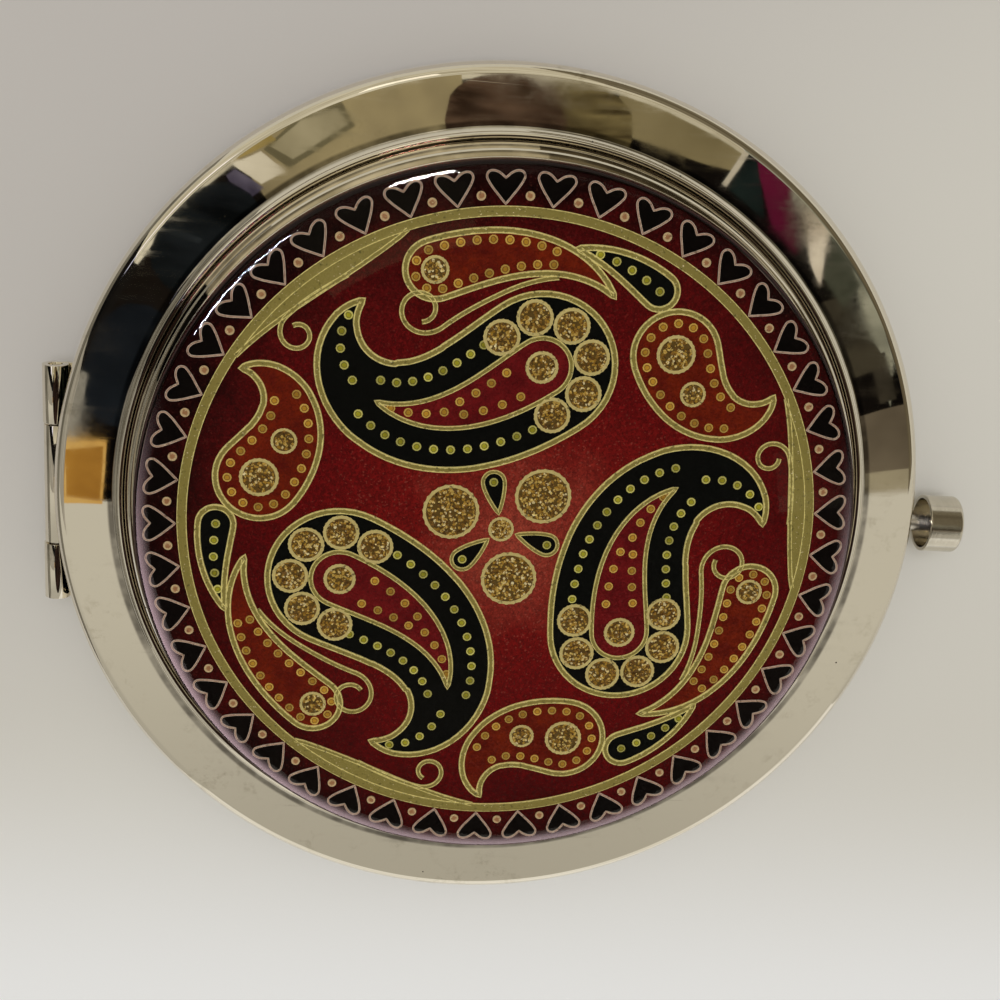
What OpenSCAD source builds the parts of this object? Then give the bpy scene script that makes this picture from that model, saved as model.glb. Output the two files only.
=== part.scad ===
// Round double-mirror compact, 70 mm across, lying closed on its back.
// Frame: origin at the middle of the flat back it rests on, +Z up through the lid,
// +X towards the push button, -X towards the hinge. Millimetres.

/* [Case] */
// Outer diameter of both shells
case_d = 70; // [66:0.5:76]
// Sheet thickness of the two pressed shells
sheet_t = 0.5; // [0.4:0.05:0.6]
// Height of the parting line above the resting face
base_h = 3.9; // [3.8:0.1:4.6]
// Height of the lid's polished band above the parting line
lid_h = 2.5; // [2.5:0.1:3.2]
// Radius of the rounded outer edge of each shell
edge_r = 1.1; // [0.8:0.1:1.2]
// Width of the polished band from the outer edge to the bead
band_w = 4.6; // [4.4:0.1:5.4]
// How far the band falls from the bead to its rounded edge
band_fall = 0.2; // [0.1:0.05:0.4]
// Gap between the closed shells at the parting line
seam_gap = 0.1; // [0.06:0.02:0.2]

/* [Lid badge] */
// Radius of the rolled bead round the badge
bead_r = 0.27; // [0.2:0.01:0.3]
// Height of the badge's stepped wall above the lid's panel
bezel_h = 3.3; // [3:0.1:3.8]
// Sheet thickness of the stepped badge carrier
bezel_t = 0.4; // [0.3:0.05:0.5]
// Thickness of the enamelled plate
plate_t = 0.95; // [0.8:0.05:1.2]
// Height of the plate's raised wires above its enamel
relief_h = 0.1; // [0.06:0.02:0.16]
// Height of the clear dome's crown above the plate
crown_h = 1.2; // [0.8:0.1:1.6]
// Spacing of the border's hearts along the hoop
heart_pitch = 3.48; // [3.3:0.01:4.4]
// Length of one heart from its point to its lobes
heart_len = 2.55; // [2.2:0.05:2.6]
// Width of one heart across its lobes
heart_w = 2.95; // [2.4:0.05:3.1]
// Width of the hearts' wires
wire_w = 0.26; // [0.2:0.02:0.34]
// Distance from the plate's edge to the hoop that the hearts stand on
hoop_margin = 2.99; // [2.8:0.01:4]
// Width of the hoop
hoop_w = 0.75; // [0.4:0.05:1.2]
// Diameter of the small studs between the hearts
stud_d = 0.7; // [0.5:0.05:0.9]

/* [Mirrors] */
// Width from the edge of both mirror glasses to the case's edge
mirror_rim = 6.4; // [6.2:0.1:8]
// Thickness of the lid's plain mirror
plain_glass_t = 1.0; // [0.8:0.05:1]
// Thickness of the base's magnifying mirror at its edge
dished_glass_t = 1.8; // [1.6:0.1:2]
// Depth of the magnifying mirror's dish
dish_depth = 0.6; // [0.3:0.1:0.8]
// Thickness of the adhesive pads behind the mirrors
pad_t = 0.2; // [0.1:0.05:0.3]
// How far the adhesive pads stop short of the glass's edge
pad_margin = 2.6; // [1:0.2:8]
// Sheet thickness of the two mirror rings
ring_t = 0.3; // [0.25:0.05:0.35]
// How far the mirror rings lap over the edge of the glass
ring_lap = 0.8; // [0.5:0.1:1.5]

/* [Hinge] */
// Length of the hinge barrel
hinge_len = 19.3; // [16:0.1:21]
// Length of the barrel's middle knuckle
mid_knuckle_len = 9.7; // [7:0.1:11]
// Outer radius of the two end knuckles
knuckle_r = 1.0; // [0.95:0.01:1.1]
// Outer radius of the middle knuckle
mid_knuckle_r = 0.93; // [0.9:0.01:1]
// Radius of the hinge pin
pin_r = 0.5; // [0.4:0.02:0.55]

/* [Button and latch] */
// Diameter of the button's cap
cap_d = 4.8; // [3.6:0.1:5]
// Length of the button's cap
cap_len = 2.9; // [2.4:0.1:3.6]
// Depth of the hollow in the cap's inner end
cap_hollow = 1.6; // [1:0.1:1.8]
// Wall of the hollow cap
cap_wall = 0.3; // [0.2:0.05:0.5]
// Distance of the cap from the case's edge
cap_gap = 1.95; // [1.6:0.05:2.6]
// Diameter of the button's stem
stem_d = 1.3; // [1:0.05:1.3]
// Diameter of the stem's thin inner end
stem_tail_d = 0.9; // [0.7:0.05:0.95]
// How far the button travels
button_travel = 1.0; // [0.7:0.1:1]
// Sheet thickness of the latch pieces
latch_t = 0.4; // [0.3:0.05:0.4]
// How far the latch hook laps over the lid's catch
hook_lap = 0.3; // [0.2:0.05:0.35]
// Wire diameter of the button's return spring
spring_wire = 0.2; // [0.15:0.01:0.22]

/* [Hidden] */
$fn = 96;
arc_steps = 8;
cut = 0.5;  // how far a cutting tool runs past what it cuts

// running gaps
pin_gap = 0.05;      // hinge pin to knuckle bore, on the radius
knuckle_gap = 0.15;  // between neighbouring knuckles
stem_gap = 0.05;     // stem to the holes that guide it, on the radius
fit_gap = 0.05;      // pressed-in ring to shell, and parts laid side by side
slide_gap = 0.1;     // between sliding latch pieces

// case levels and radii
case_r = case_d / 2;
base_top = base_h - seam_gap / 2;
lid_bottom = base_h + seam_gap / 2;
round_r = case_r - edge_r;              // where the band meets the rounded edge
band_in_r = case_r - band_w;            // inner edge of the band
inside_r = case_r - sheet_t;
base_band_in = band_fall * 1.5;         // the back panel stands this far below the band
base_band_out = base_band_in + band_fall;
base_floor = base_band_out + sheet_t;   // inner face over the base's band
lid_band_in = base_h + lid_h;
lid_band_out = lid_band_in - band_fall;
lid_ceiling = lid_band_out - sheet_t;   // inner face under the lid's band
lid_panel = lid_band_in - 2 * band_fall;
lid_panel_in = lid_panel - sheet_t;

// beads
bead_in_w = 0.65;                       // bead's middle from the band's inner edge
bead_mid_r = band_in_r - bead_in_w;
cove_r = bead_in_w - bead_r - slide_gap;
lid_bead_z = lid_band_in + bead_r * 0.75;
well_r = bead_mid_r - bead_r - fit_gap;
panel_r = well_r - 2 * bead_r;          // edge of the flat back
base_bead_z = base_band_in + bead_r / 2;

// badge
bezel_foot_r = well_r - fit_gap;
bezel_step = [0.5, 0.12, 0.37];         // how far each stage of the wall leans in
bezel_rise_shares = [0.27, 0.61, 0.64, 0.94];
bezel_top = lid_panel + bezel_h;
bezel_lip = 0.25;                       // how far the wall's lip stands above the carrier's deck
bezel_lip_r = bezel_foot_r - bezel_step[0] - bezel_step[1] - bezel_step[2];
deck_top = bezel_top - bezel_lip;
deck_bottom = deck_top - bezel_t;
dome_r = bezel_lip_r - fit_gap;
dome_wall = 0.3;
plate_pad_t = 0.1;
plate_pad_inset = 0.5;                  // the film stops short of the plate's edge
plate_r = dome_r - dome_wall - slide_gap;
plate_bottom = deck_top + plate_pad_t;
plate_top = plate_bottom + plate_t;
hoop_r = plate_r - hoop_margin;
heart_count = floor(2 * PI * hoop_r / heart_pitch);
relief_gap = 0.03;                      // between the wires and the dome
relief_root = 0.2;                      // how deep the wires reach into the enamel
dome_under = plate_top + relief_h + relief_gap;
// edge of the dome: distance in from its foot, and height as shares of the way up to the crown's foot
dome_shoulder = [0, 0.04, 0.14, 0.34, 0.7];
dome_rise_shares = [0, 0.42, 0.72, 0.9, 1];
dome_shoulder_top = plate_top + relief_h + dome_wall * 0.9;
dome_top = plate_top + crown_h;

// hearts: outline from the point to the notch as shares of half the width and of the length
heart_shares = [[0, 0], [0.34, 0.24], [0.7, 0.5], [0.94, 0.72], [1, 0.84], [0.9, 0.96], [0.66, 1], [0.34, 0.94], [0, 0.78]];
heart_inset_share = 0.53;               // height of the point that a heart's inner outline shrinks to
stud_share = 0.3;                       // height of a stud beside the hearts
border_turn = 3.94;                     // degrees that the border stands turned from the button

// mirrors and their rings
mirror_r = case_r - mirror_rim;
pad_r = mirror_r - pad_margin;
base_glass_bottom = sheet_t + pad_t;
base_glass_top = base_glass_bottom + dished_glass_t;
base_ring_top = base_glass_top + ring_t;
lid_glass_top = lid_panel_in - pad_t;
lid_glass_bottom = lid_glass_top - plain_glass_t;
lid_ring_bottom = lid_glass_bottom - ring_t;
ring_r = inside_r - fit_gap;
ring_skirt = 0.9;                       // height of the base ring's outer skirt
lid_ring_skirt = 0.7;                   // height of the lid ring's outer skirt
ring_open_r = mirror_r - ring_lap;
dish_rim = 0.4;                         // flat edge of the dish inside the ring's opening
dish_r = ring_open_r - dish_rim;
dish_curve_r = (pow(dish_r, 2) + pow(dish_depth, 2)) / (2 * dish_depth);

// hinge
hinge_x = -case_r - pin_gap * 2;
leaf_t = knuckle_r - pin_r - pin_gap;
mid_leaf_t = mid_knuckle_r - pin_r - pin_gap;
end_knuckle_len = (hinge_len - mid_knuckle_len) / 2 - knuckle_gap;
pin_recess = 0.3;                       // how far the pin's ends lie inside the barrel
barrel_clear = 0.3;                     // round the barrel in the shells' notches
notch_w = hinge_len + barrel_clear;
notch_low = base_h - knuckle_r - barrel_clear;
notch_high = base_h + knuckle_r + barrel_clear;
notch_depth = sheet_t * 4;
leaf_foot_len = 2;
leaf_foot_w = mid_knuckle_len;
leaf_web_x = -sqrt(pow(round_r, 2) - pow(leaf_foot_w / 2, 2));   // outer face of both webs, inside the rounded edges
leaf_drop_x = leaf_web_x + leaf_t;      // inner face of the base leaf's web
roll_slit = 0.12;                       // open seam where the sheet's end meets its leaf

// button and latch
stem_r = stem_d / 2;
tail_r = stem_tail_d / 2;
stem_z = base_top - sheet_t / 2 - stem_gap - stem_r;
cap_in_x = case_r + cap_gap;
cap_out_x = cap_in_x + cap_len;
cap_edge_r = 0.3;
stem_seat = 0.7;                        // how deep the stem sits in the cap's solid end
tine_out_x = inside_r - latch_t * 0.9;
tine_in_x = tine_out_x - latch_t;
barb_len = latch_t;
barb_in_x = tine_in_x - barb_len;
hook_lip_x = barb_in_x + hook_lap;
hook_web_x = barb_in_x - slide_gap;     // outer face of the hook's web
hook_web_in_x = hook_web_x - latch_t;
hook_w = 6;
tine_inner_y = 1.25;
tine_outer_y = 2.9;
bracket_floor = base_floor + latch_t;
hook_bottom = bracket_floor + fit_gap;
hook_neck_share = 0.83;                 // the hook's round neck, as a share of the height from its foot to the stem
hook_neck_r = (stem_z - hook_bottom) * hook_neck_share;
barb_bottom = hook_bottom + fit_gap;
barb_top = barb_bottom + latch_t;
hook_lip_bottom = barb_top + fit_gap;
hook_lip_top = hook_lip_bottom + latch_t;
cam_cut = 0.2;                          // sloped corners that push the hook aside when the lid shuts
clip_t = 0.3;
clip_r = tail_r + latch_t;
clip_open_w = stem_tail_d * 0.8;
tail_end = 0.15;                        // how far the tail runs past its clip
tail_clear = 0.2;                       // tail to the mirror glass with the button pressed
tail_x = mirror_r + tail_clear + button_travel;
clip_x = tail_x + tail_end;
ear_x = clip_x + clip_t + fit_gap;
ear_w = 2 * (tail_r + stem_gap) + 2 * latch_t;
ear_z = stem_z;
window_side = 1.2;                      // room beside the hook in the rings' windows
window_w = hook_w + 2 * window_side;
window_x = mirror_r + tail_clear / 2;
hinge_window_x = -mirror_r - ring_lap;
catch_foot_len = 2.4;

// spring of the button, wound round the stem's tail
spring_gap = 0.08;
spring_in_r = tail_r + spring_gap;
spring_mid_r = spring_in_r + spring_wire / 2;
spring_turns = 3;
spring_x0 = ear_x + latch_t + fit_gap;
spring_x1 = hook_web_in_x - fit_gap;
spring_steps = 8;
spring_sides = 6;

// colours
nickel = [0.80, 0.78, 0.74];
satin_nickel = [0.72, 0.71, 0.68];
spring_steel = [0.55, 0.56, 0.58];
mirror_silver = [0.86, 0.89, 0.91];
crimson = [0.50, 0.05, 0.07];
clear = [0.92, 0.94, 0.96, 0.35];
foam_white = [0.92, 0.91, 0.88];

// points of an arc of radius r about c
function arc(c, r, a0, a1, n = arc_steps) = [for (i = [0:n]) let (a = a0 + (a1 - a0) * i / n)
    [c[0] + r * cos(a), c[1] + r * sin(a)]];

// a solid turned round the case's axis from an outline of [radius, height]
module turned(outline) { rotate_extrude() polygon(outline); }

// a plate whose outline of [x, z] runs along Y from y0 to y1
module bent(outline, y0, y1) {
    translate([0, y1, 0]) rotate([90, 0, 0]) linear_extrude(y1 - y0) polygon(outline);
}

// a round bar along X
module bar_x(x0, x1, r, z) { translate([x0, 0, z]) rotate([0, 90, 0]) cylinder(h = x1 - x0, r = r); }

// a round bar along Y at the hinge's axis
module hinge_bar(y0, y1, r) {
    translate([hinge_x, y1, base_h]) rotate([90, 0, 0]) cylinder(h = y1 - y0, r = r);
}

// room in both shells for the hinge barrel
module hinge_notch() {
    translate([hinge_x - knuckle_r - cut, -notch_w / 2, notch_low])
        cube([knuckle_r + cut + notch_depth, notch_w, notch_high - notch_low]);
}

// windows in the mirror rings for the hinge leaves and the latch
module ring_windows() {
    translate([-case_r - cut, -notch_w / 2, 0]) cube([case_r + cut + hinge_window_x, notch_w, base_h + lid_h]);
    translate([window_x, -window_w / 2, 0]) cube([case_r, window_w, base_h + lid_h]);
}

// pressed base: flat back, beaded edge, polished band and upright rim
module base_shell() {
    outer = concat([[0, 0], [panel_r, 0], [well_r, base_band_in]],
        arc([bead_mid_r, base_bead_z], bead_r, 200, 340),
        [[band_in_r, base_band_in]], arc([round_r, base_band_out + edge_r], edge_r, -90, 0), [[case_r, base_top]]);
    inner = concat([[inside_r, base_top]], arc([round_r, base_band_out + edge_r], edge_r - sheet_t, 0, -90),
        [[well_r, base_floor], [panel_r - sheet_t / 2, sheet_t], [0, sheet_t]]);
    color(nickel) difference() {
        turned(concat(outer, inner));
        hinge_notch();
        bar_x(round_r, case_r + cut, stem_r + stem_gap, stem_z);
    }
}

// pressed lid: well for the badge, rolled bead, polished band and upright rim
module lid_shell() {
    outer = concat([[0, lid_panel], [well_r, lid_panel]],
        arc([bead_mid_r, lid_bead_z], bead_r, 180, 0),
        arc([band_in_r, lid_band_in + cove_r], cove_r, 215, 270),
        arc([round_r, lid_band_out - edge_r], edge_r, 90, 0), [[case_r, lid_bottom]]);
    inner = concat([[inside_r, lid_bottom]], arc([round_r, lid_band_out - edge_r], edge_r - sheet_t, 0, 90),
        [[band_in_r, lid_ceiling], [well_r, lid_panel_in], [0, lid_panel_in]]);
    color(nickel) difference() {
        turned(concat(outer, inner));
        hinge_notch();
    }
}

// stepped carrier that lifts the enamelled plate above the lid
module lid_bezel() {
    s = bezel_rise_shares;
    r1 = bezel_foot_r - bezel_step[0];
    r2 = r1 - bezel_step[1];
    z = [for (k = s) lid_panel + bezel_h * k];
    plate_seat_r = bezel_lip_r - bezel_lip;
    color(nickel) turned([[bezel_foot_r, lid_panel], [bezel_foot_r, z[0]], [r1, z[1]], [r2, z[2]],
        [bezel_lip_r, z[3]], [bezel_lip_r, bezel_top], [plate_seat_r, bezel_top], [plate_seat_r, deck_top],
        [0, deck_top], [0, deck_bottom], [bezel_lip_r - bezel_t, deck_bottom], [r2 - bezel_t, z[2] - bezel_t],
        [r1 - bezel_t, z[1] - bezel_t], [bezel_foot_r - bezel_t, z[0]], [bezel_foot_r - bezel_t, lid_panel]]);
}

// double-sided film under the enamelled plate
module plate_pad() {
    color(foam_white) translate([0, 0, deck_top]) cylinder(h = plate_pad_t, r = plate_r - plate_pad_inset);
}

// one heart's outline, point at the origin and lobes towards +Y; k shrinks it about its middle
module heart(k) {
    mid = [0, heart_len * heart_inset_share];
    n = len(heart_shares);
    half = [for (p = heart_shares) [p[0] * heart_w / 2, p[1] * heart_len]];
    whole = concat(half, [for (i = [n - 2:-1:1]) [-half[i][0], half[i][1]]]);
    polygon([for (p = whole) mid + (p - mid) * k]);
}

// enamelled plate with its border of wire hearts, studs and hoop
module enamel_plate() {
    step = 360 / heart_count;
    color(crimson) union() {
        translate([0, 0, plate_bottom]) cylinder(h = plate_t, r = plate_r);
        translate([0, 0, plate_top - relief_root]) {
            linear_extrude(relief_root + relief_h) difference() {
                circle(r = hoop_r);
                circle(r = hoop_r - hoop_w);
            }
            for (i = [0:heart_count - 1]) rotate(border_turn + i * step) {
                translate([0, hoop_r + fit_gap, 0]) linear_extrude(relief_root + relief_h) difference() {
                    heart(1);
                    heart(1 - 2 * wire_w / heart_w);
                }
                rotate(step / 2) translate([0, hoop_r + heart_len * stud_share, 0])
                    cylinder(h = relief_root + relief_h, r = stud_d / 2);
            }
        }
    }
}

// clear resin dome over the plate
module clear_dome() {
    shoulder = [for (i = [0:len(dome_shoulder) - 1])
        [dome_r - dome_shoulder[i], bezel_top + (dome_shoulder_top - bezel_top) * dome_rise_shares[i]]];
    edge = shoulder[len(shoulder) - 1];
    rise = dome_top - edge[1];
    crown_r = (pow(edge[0], 2) + pow(rise, 2)) / (2 * rise);
    edge_angle = acos(edge[0] / crown_r);
    color(clear) turned(concat([[plate_r + slide_gap, bezel_top]], shoulder,
        arc([0, dome_top - crown_r], crown_r, edge_angle, 90, arc_steps * 2),
        [[0, dome_under], [plate_r + slide_gap, dome_under]]));
}

// mirror ring of the base: lies on the glass and is pressed into the rim
module base_mirror_ring() {
    color(nickel) difference() {
        turned([[ring_open_r, base_glass_top], [ring_r - ring_t, base_glass_top],
            [ring_r - ring_t, base_glass_top - ring_skirt], [ring_r, base_glass_top - ring_skirt],
            [ring_r, base_ring_top], [ring_open_r, base_ring_top]]);
        ring_windows();
    }
}

// mirror ring of the lid
module lid_mirror_ring() {
    color(nickel) difference() {
        turned([[ring_open_r, lid_glass_bottom], [ring_r - ring_t, lid_glass_bottom],
            [ring_r - ring_t, lid_glass_bottom + lid_ring_skirt], [ring_r, lid_glass_bottom + lid_ring_skirt],
            [ring_r, lid_ring_bottom], [ring_open_r, lid_ring_bottom]]);
        ring_windows();
    }
}

// dished mirror glass of the base
module magnifying_mirror() {
    dish_angle = asin(dish_r / dish_curve_r);
    color(mirror_silver) turned(concat([[0, base_glass_bottom], [mirror_r, base_glass_bottom],
        [mirror_r, base_glass_top]],
        arc([0, base_glass_top - dish_depth + dish_curve_r], dish_curve_r, dish_angle - 90, -90)));
}

module magnifying_mirror_pad() {
    color(foam_white) translate([0, 0, sheet_t]) cylinder(h = pad_t, r = pad_r);
}

// plain mirror glass of the lid
module plain_mirror() {
    color(mirror_silver) translate([0, 0, lid_glass_bottom]) cylinder(h = plain_glass_t, r = mirror_r);
}

module plain_mirror_pad() {
    color(foam_white) translate([0, 0, lid_glass_top]) cylinder(h = pad_t, r = pad_r);
}

// base hinge leaf: two end knuckles, and a strip bent down to the base's floor
module base_hinge_leaf() {
    low = base_h - knuckle_r;
    knuckle_y = mid_knuckle_len / 2 + knuckle_gap;
    tab_end_x = hinge_x + knuckle_r + barrel_clear;
    color(nickel) difference() {
        union() {
            for (s = [-1, 1]) {
                y0 = s > 0 ? knuckle_y : -hinge_len / 2;
                hinge_bar(y0, y0 + end_knuckle_len, knuckle_r);
                translate([hinge_x, y0, low]) cube([tab_end_x - hinge_x, end_knuckle_len, leaf_t]);
            }
            translate([tab_end_x, -hinge_len / 2, low]) cube([leaf_drop_x - tab_end_x, hinge_len, leaf_t]);
            bent([[leaf_web_x, base_floor], [leaf_drop_x + leaf_foot_len, base_floor],
                [leaf_drop_x + leaf_foot_len, base_floor + leaf_t], [leaf_drop_x, base_floor + leaf_t],
                [leaf_drop_x, low], [leaf_web_x, low]], -leaf_foot_w / 2, leaf_foot_w / 2);
        }
        hinge_bar(-hinge_len, hinge_len, pin_r + pin_gap);
        translate([hinge_x + pin_r, -hinge_len, low + leaf_t]) cube([knuckle_r, 2 * hinge_len, roll_slit]);
    }
}

// lid hinge leaf: middle knuckle, and a strip bent up to the lid's ceiling
module lid_hinge_leaf() {
    high = base_h + mid_knuckle_r;
    y = mid_knuckle_len / 2;
    bend_x = leaf_web_x + mid_leaf_t;
    color(nickel) difference() {
        union() {
            hinge_bar(-y, y, mid_knuckle_r);
            bent([[hinge_x, high - mid_leaf_t], [bend_x, high - mid_leaf_t],
                [bend_x, lid_ceiling - mid_leaf_t], [bend_x + leaf_foot_len, lid_ceiling - mid_leaf_t],
                [bend_x + leaf_foot_len, lid_ceiling], [leaf_web_x, lid_ceiling],
                [leaf_web_x, high], [hinge_x, high]], -y, y);
        }
        hinge_bar(-hinge_len, hinge_len, pin_r + pin_gap);
        translate([hinge_x + pin_r, -hinge_len, high - mid_leaf_t - roll_slit])
            cube([knuckle_r, 2 * hinge_len, roll_slit]);
    }
}

module hinge_pin() {
    color(satin_nickel) hinge_bar(-hinge_len / 2 + pin_recess, hinge_len / 2 - pin_recess, pin_r);
}

// latch bracket: foot on the base's floor and an ear that guides the stem's tail
module latch_bracket() {
    foot_end_x = hook_web_x;
    color(satin_nickel) difference() {
        union() {
            translate([ear_x, -hook_w / 2, base_floor]) cube([foot_end_x - ear_x, hook_w, latch_t]);
            translate([ear_x, -ear_w / 2, base_floor]) cube([latch_t, ear_w, ear_z - base_floor]);
            bar_x(ear_x, ear_x + latch_t, ear_w / 2, ear_z);
        }
        bar_x(ear_x - cut, ear_x + latch_t + cut, tail_r + stem_gap, stem_z);
    }
}

// latch hook: web on the stem's shoulder with a lip either side that laps over the catch
module latch_hook() {
    lip = [[hook_web_in_x, hook_bottom], [hook_web_x, hook_bottom], [hook_web_x, hook_lip_bottom],
        [hook_lip_x, hook_lip_bottom], [hook_lip_x, hook_lip_top - cam_cut], [hook_lip_x - cam_cut, hook_lip_top],
        [hook_web_in_x, hook_lip_top]];
    color(satin_nickel) difference() {
        union() {
            for (s = [-1, 1]) {
                y0 = s > 0 ? tine_inner_y : -hook_w / 2;
                bent(lip, y0, y0 + hook_w / 2 - tine_inner_y);
            }
            translate([hook_web_in_x, -tine_inner_y, hook_bottom])
                cube([latch_t, 2 * tine_inner_y, stem_z - hook_bottom]);
            bar_x(hook_web_in_x, hook_web_x, hook_neck_r, stem_z);
        }
        bar_x(hook_web_in_x - cut, hook_web_x + cut, tail_r, stem_z);
    }
}

// catch of the lid: two tines with barbs that hang into the base either side of the stem
module lid_catch() {
    bend = latch_t * 1.8;
    tine = [[tine_out_x, barb_bottom + cut], [tine_out_x, lid_ceiling - bend], [tine_out_x - bend, lid_ceiling],
        [tine_in_x - catch_foot_len, lid_ceiling], [tine_in_x - catch_foot_len, lid_ceiling - latch_t],
        [tine_in_x - bend / 2, lid_ceiling - latch_t], [tine_in_x, lid_ceiling - latch_t - bend / 2],
        [tine_in_x, barb_top], [barb_in_x, barb_top], [barb_in_x, barb_bottom + cam_cut],
        [barb_in_x + cam_cut, barb_bottom], [tine_out_x - cam_cut, barb_bottom]];
    color(satin_nickel) {
        for (s = [-1, 1]) {
            y0 = s > 0 ? tine_inner_y : -tine_outer_y;
            bent(tine, y0, y0 + tine_outer_y - tine_inner_y);
        }
        translate([tine_in_x - catch_foot_len, -tine_inner_y, lid_ceiling - latch_t])
            cube([catch_foot_len - bend, 2 * tine_inner_y, latch_t]);
    }
}

// stem of the button: thick outside, thin tail through hook, spring and ear
module button_stem() {
    color(nickel) union() {
        bar_x(hook_web_x, cap_in_x + cap_hollow + stem_seat, stem_r, stem_z);
        bar_x(tail_x, hook_web_x, tail_r, stem_z);
    }
}

// clip on the stem's tail that stops the button from being pulled out
module stem_clip() {
    color(spring_steel) difference() {
        bar_x(clip_x, clip_x + clip_t, clip_r, stem_z);
        bar_x(clip_x - cut, clip_x + clip_t + cut, tail_r, stem_z);
        translate([clip_x - cut, -clip_open_w / 2, stem_z]) cube([clip_t + 2 * cut, clip_open_w, clip_r + cut]);
    }
}

// turned cap of the button, hollow at its inner end
module button_cap() {
    r = cap_d / 2;
    bottom = cap_len - cap_hollow;
    outline = concat([[0, 0]], arc([r - cap_edge_r, cap_edge_r], cap_edge_r, -90, 0, 4),
        [[r, cap_len], [r - cap_wall, cap_len], [r - cap_wall, bottom], [0, bottom]]);
    color(nickel) difference() {
        translate([cap_out_x, 0, stem_z]) rotate([0, -90, 0]) turned(outline);
        bar_x(cap_in_x + cap_hollow - cut, cap_in_x + cap_hollow + stem_seat, stem_r, stem_z);
    }
}

// points of the spring's tube, ring by ring
function spring_rings() = [for (i = [0:spring_turns * spring_steps]) let (
        a = 360 * i / spring_steps,
        x = spring_x0 + spring_wire / 2 + (spring_x1 - spring_x0 - spring_wire) * i / (spring_turns * spring_steps),
        c = [x, spring_mid_r * cos(a), stem_z + spring_mid_r * sin(a)],
        out = [0, cos(a), sin(a)])
    [for (j = [0:spring_sides - 1]) let (b = 360 * j / spring_sides)
        c + spring_wire / 2 * (cos(b) * out + sin(b) * [1, 0, 0])]];

// least distance between points of the spring that lie a turn apart
function spring_least_gap(r) = min([for (i = [0:len(r) - 1 - spring_steps])
    for (k = [i + spring_steps - 1:min(i + spring_steps + 1, len(r) - 1)])
        for (p = r[i]) for (q = r[k]) norm(p - q)]);

// return spring of the button, one unbroken tube
module button_spring() {
    rings = spring_rings();
    echo(spring_least_gap = spring_least_gap(rings));
    n = len(rings);
    m = spring_sides;
    points = [for (r = rings) for (p = r) p];
    sides = [for (i = [0:n - 2]) for (j = [0:m - 1]) let (
            p = i * m + j, q = i * m + (j + 1) % m)
        each [[p, q, q + m], [p, q + m, p + m]]];
    ends = [for (j = [1:m - 2]) each [[0, j + 1, j], [(n - 1) * m, (n - 1) * m + j, (n - 1) * m + j + 1]]];
    color(spring_steel) polyhedron(points, concat(sides, ends));
}

base_shell();
base_mirror_ring();
magnifying_mirror();
magnifying_mirror_pad();
base_hinge_leaf();
hinge_pin();
latch_bracket();
button_spring();
button_cap();
button_stem();
latch_hook();
stem_clip();
lid_shell();
lid_bezel();
plate_pad();
enamel_plate();
clear_dome();
lid_mirror_ring();
plain_mirror();
plain_mirror_pad();
lid_hinge_leaf();
lid_catch();
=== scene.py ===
"""A round compact mirror with an enamelled and domed lid, dressed over its packed frame."""

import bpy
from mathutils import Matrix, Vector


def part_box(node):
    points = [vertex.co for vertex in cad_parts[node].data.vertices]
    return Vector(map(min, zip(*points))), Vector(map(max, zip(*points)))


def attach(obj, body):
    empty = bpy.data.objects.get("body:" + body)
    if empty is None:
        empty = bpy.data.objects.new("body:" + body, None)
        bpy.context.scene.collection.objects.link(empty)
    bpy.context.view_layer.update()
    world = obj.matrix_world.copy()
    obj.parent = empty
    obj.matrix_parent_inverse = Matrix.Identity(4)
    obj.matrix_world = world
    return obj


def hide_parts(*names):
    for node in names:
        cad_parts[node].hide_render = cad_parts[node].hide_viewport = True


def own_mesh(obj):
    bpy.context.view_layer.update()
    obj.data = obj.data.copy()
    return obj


bl_info = {
    "name": "Compact Mirror",
    "version": (1, 0, 0),
    "blender": (4, 5, 0),
    "location": "View3D > Sidebar > Compact",
    "description": "Builds a round compact mirror with an enamelled lid over its packed frame",
    "category": "Add Mesh",
}

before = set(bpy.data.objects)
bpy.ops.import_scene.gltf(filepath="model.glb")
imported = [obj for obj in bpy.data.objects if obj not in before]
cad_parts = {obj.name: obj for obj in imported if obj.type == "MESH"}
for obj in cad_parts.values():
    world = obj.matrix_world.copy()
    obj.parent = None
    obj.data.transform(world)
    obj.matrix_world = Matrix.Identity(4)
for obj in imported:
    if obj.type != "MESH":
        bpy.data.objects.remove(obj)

import math

import bmesh
import bpy
from bpy.props import FloatProperty, FloatVectorProperty, IntProperty, PointerProperty
from mathutils import Matrix, Vector

MM = 0.001
TURN = 2 * math.pi
ROUND_STEPS = 256          # faces round the case
SMALL_ROUND_STEPS = 72     # faces round the button and the hinge pin
EDGE = 0.05                # mm, break of a pressed or cut metal edge
HOLD = 0.05                # mm, distance of the edge loops that keep flat faces flat
SHARP = math.radians(32)


def linear(colour):
    """Linear light of an sRGB hex colour."""
    shares = [int(colour[i:i + 2], 16) / 255 for i in (1, 3, 5)]
    return tuple(c / 12.92 if c <= 0.04045 else ((c + 0.055) / 1.055) ** 2.4 for c in shares)


def reach(cad_node):
    """Lowest and highest corner of a CAD node at rest, in millimetres."""
    low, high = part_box(cad_node)
    return low / MM, high / MM


def length(value, title, description):
    """A length property given in millimetres."""
    return FloatProperty(name=title, description=description, default=value * MM, min=0, unit="LENGTH",
                         precision=5)


def tint(value, title, description):
    """A colour property given as sRGB hex."""
    return FloatVectorProperty(name=title, description=description, default=linear(value), size=3,
                               min=0, max=1, subtype="COLOR")


def share(value, title, description):
    """A share from 0 to 1."""
    return FloatProperty(name=title, description=description, default=value, min=0, max=1, subtype="FACTOR")


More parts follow.
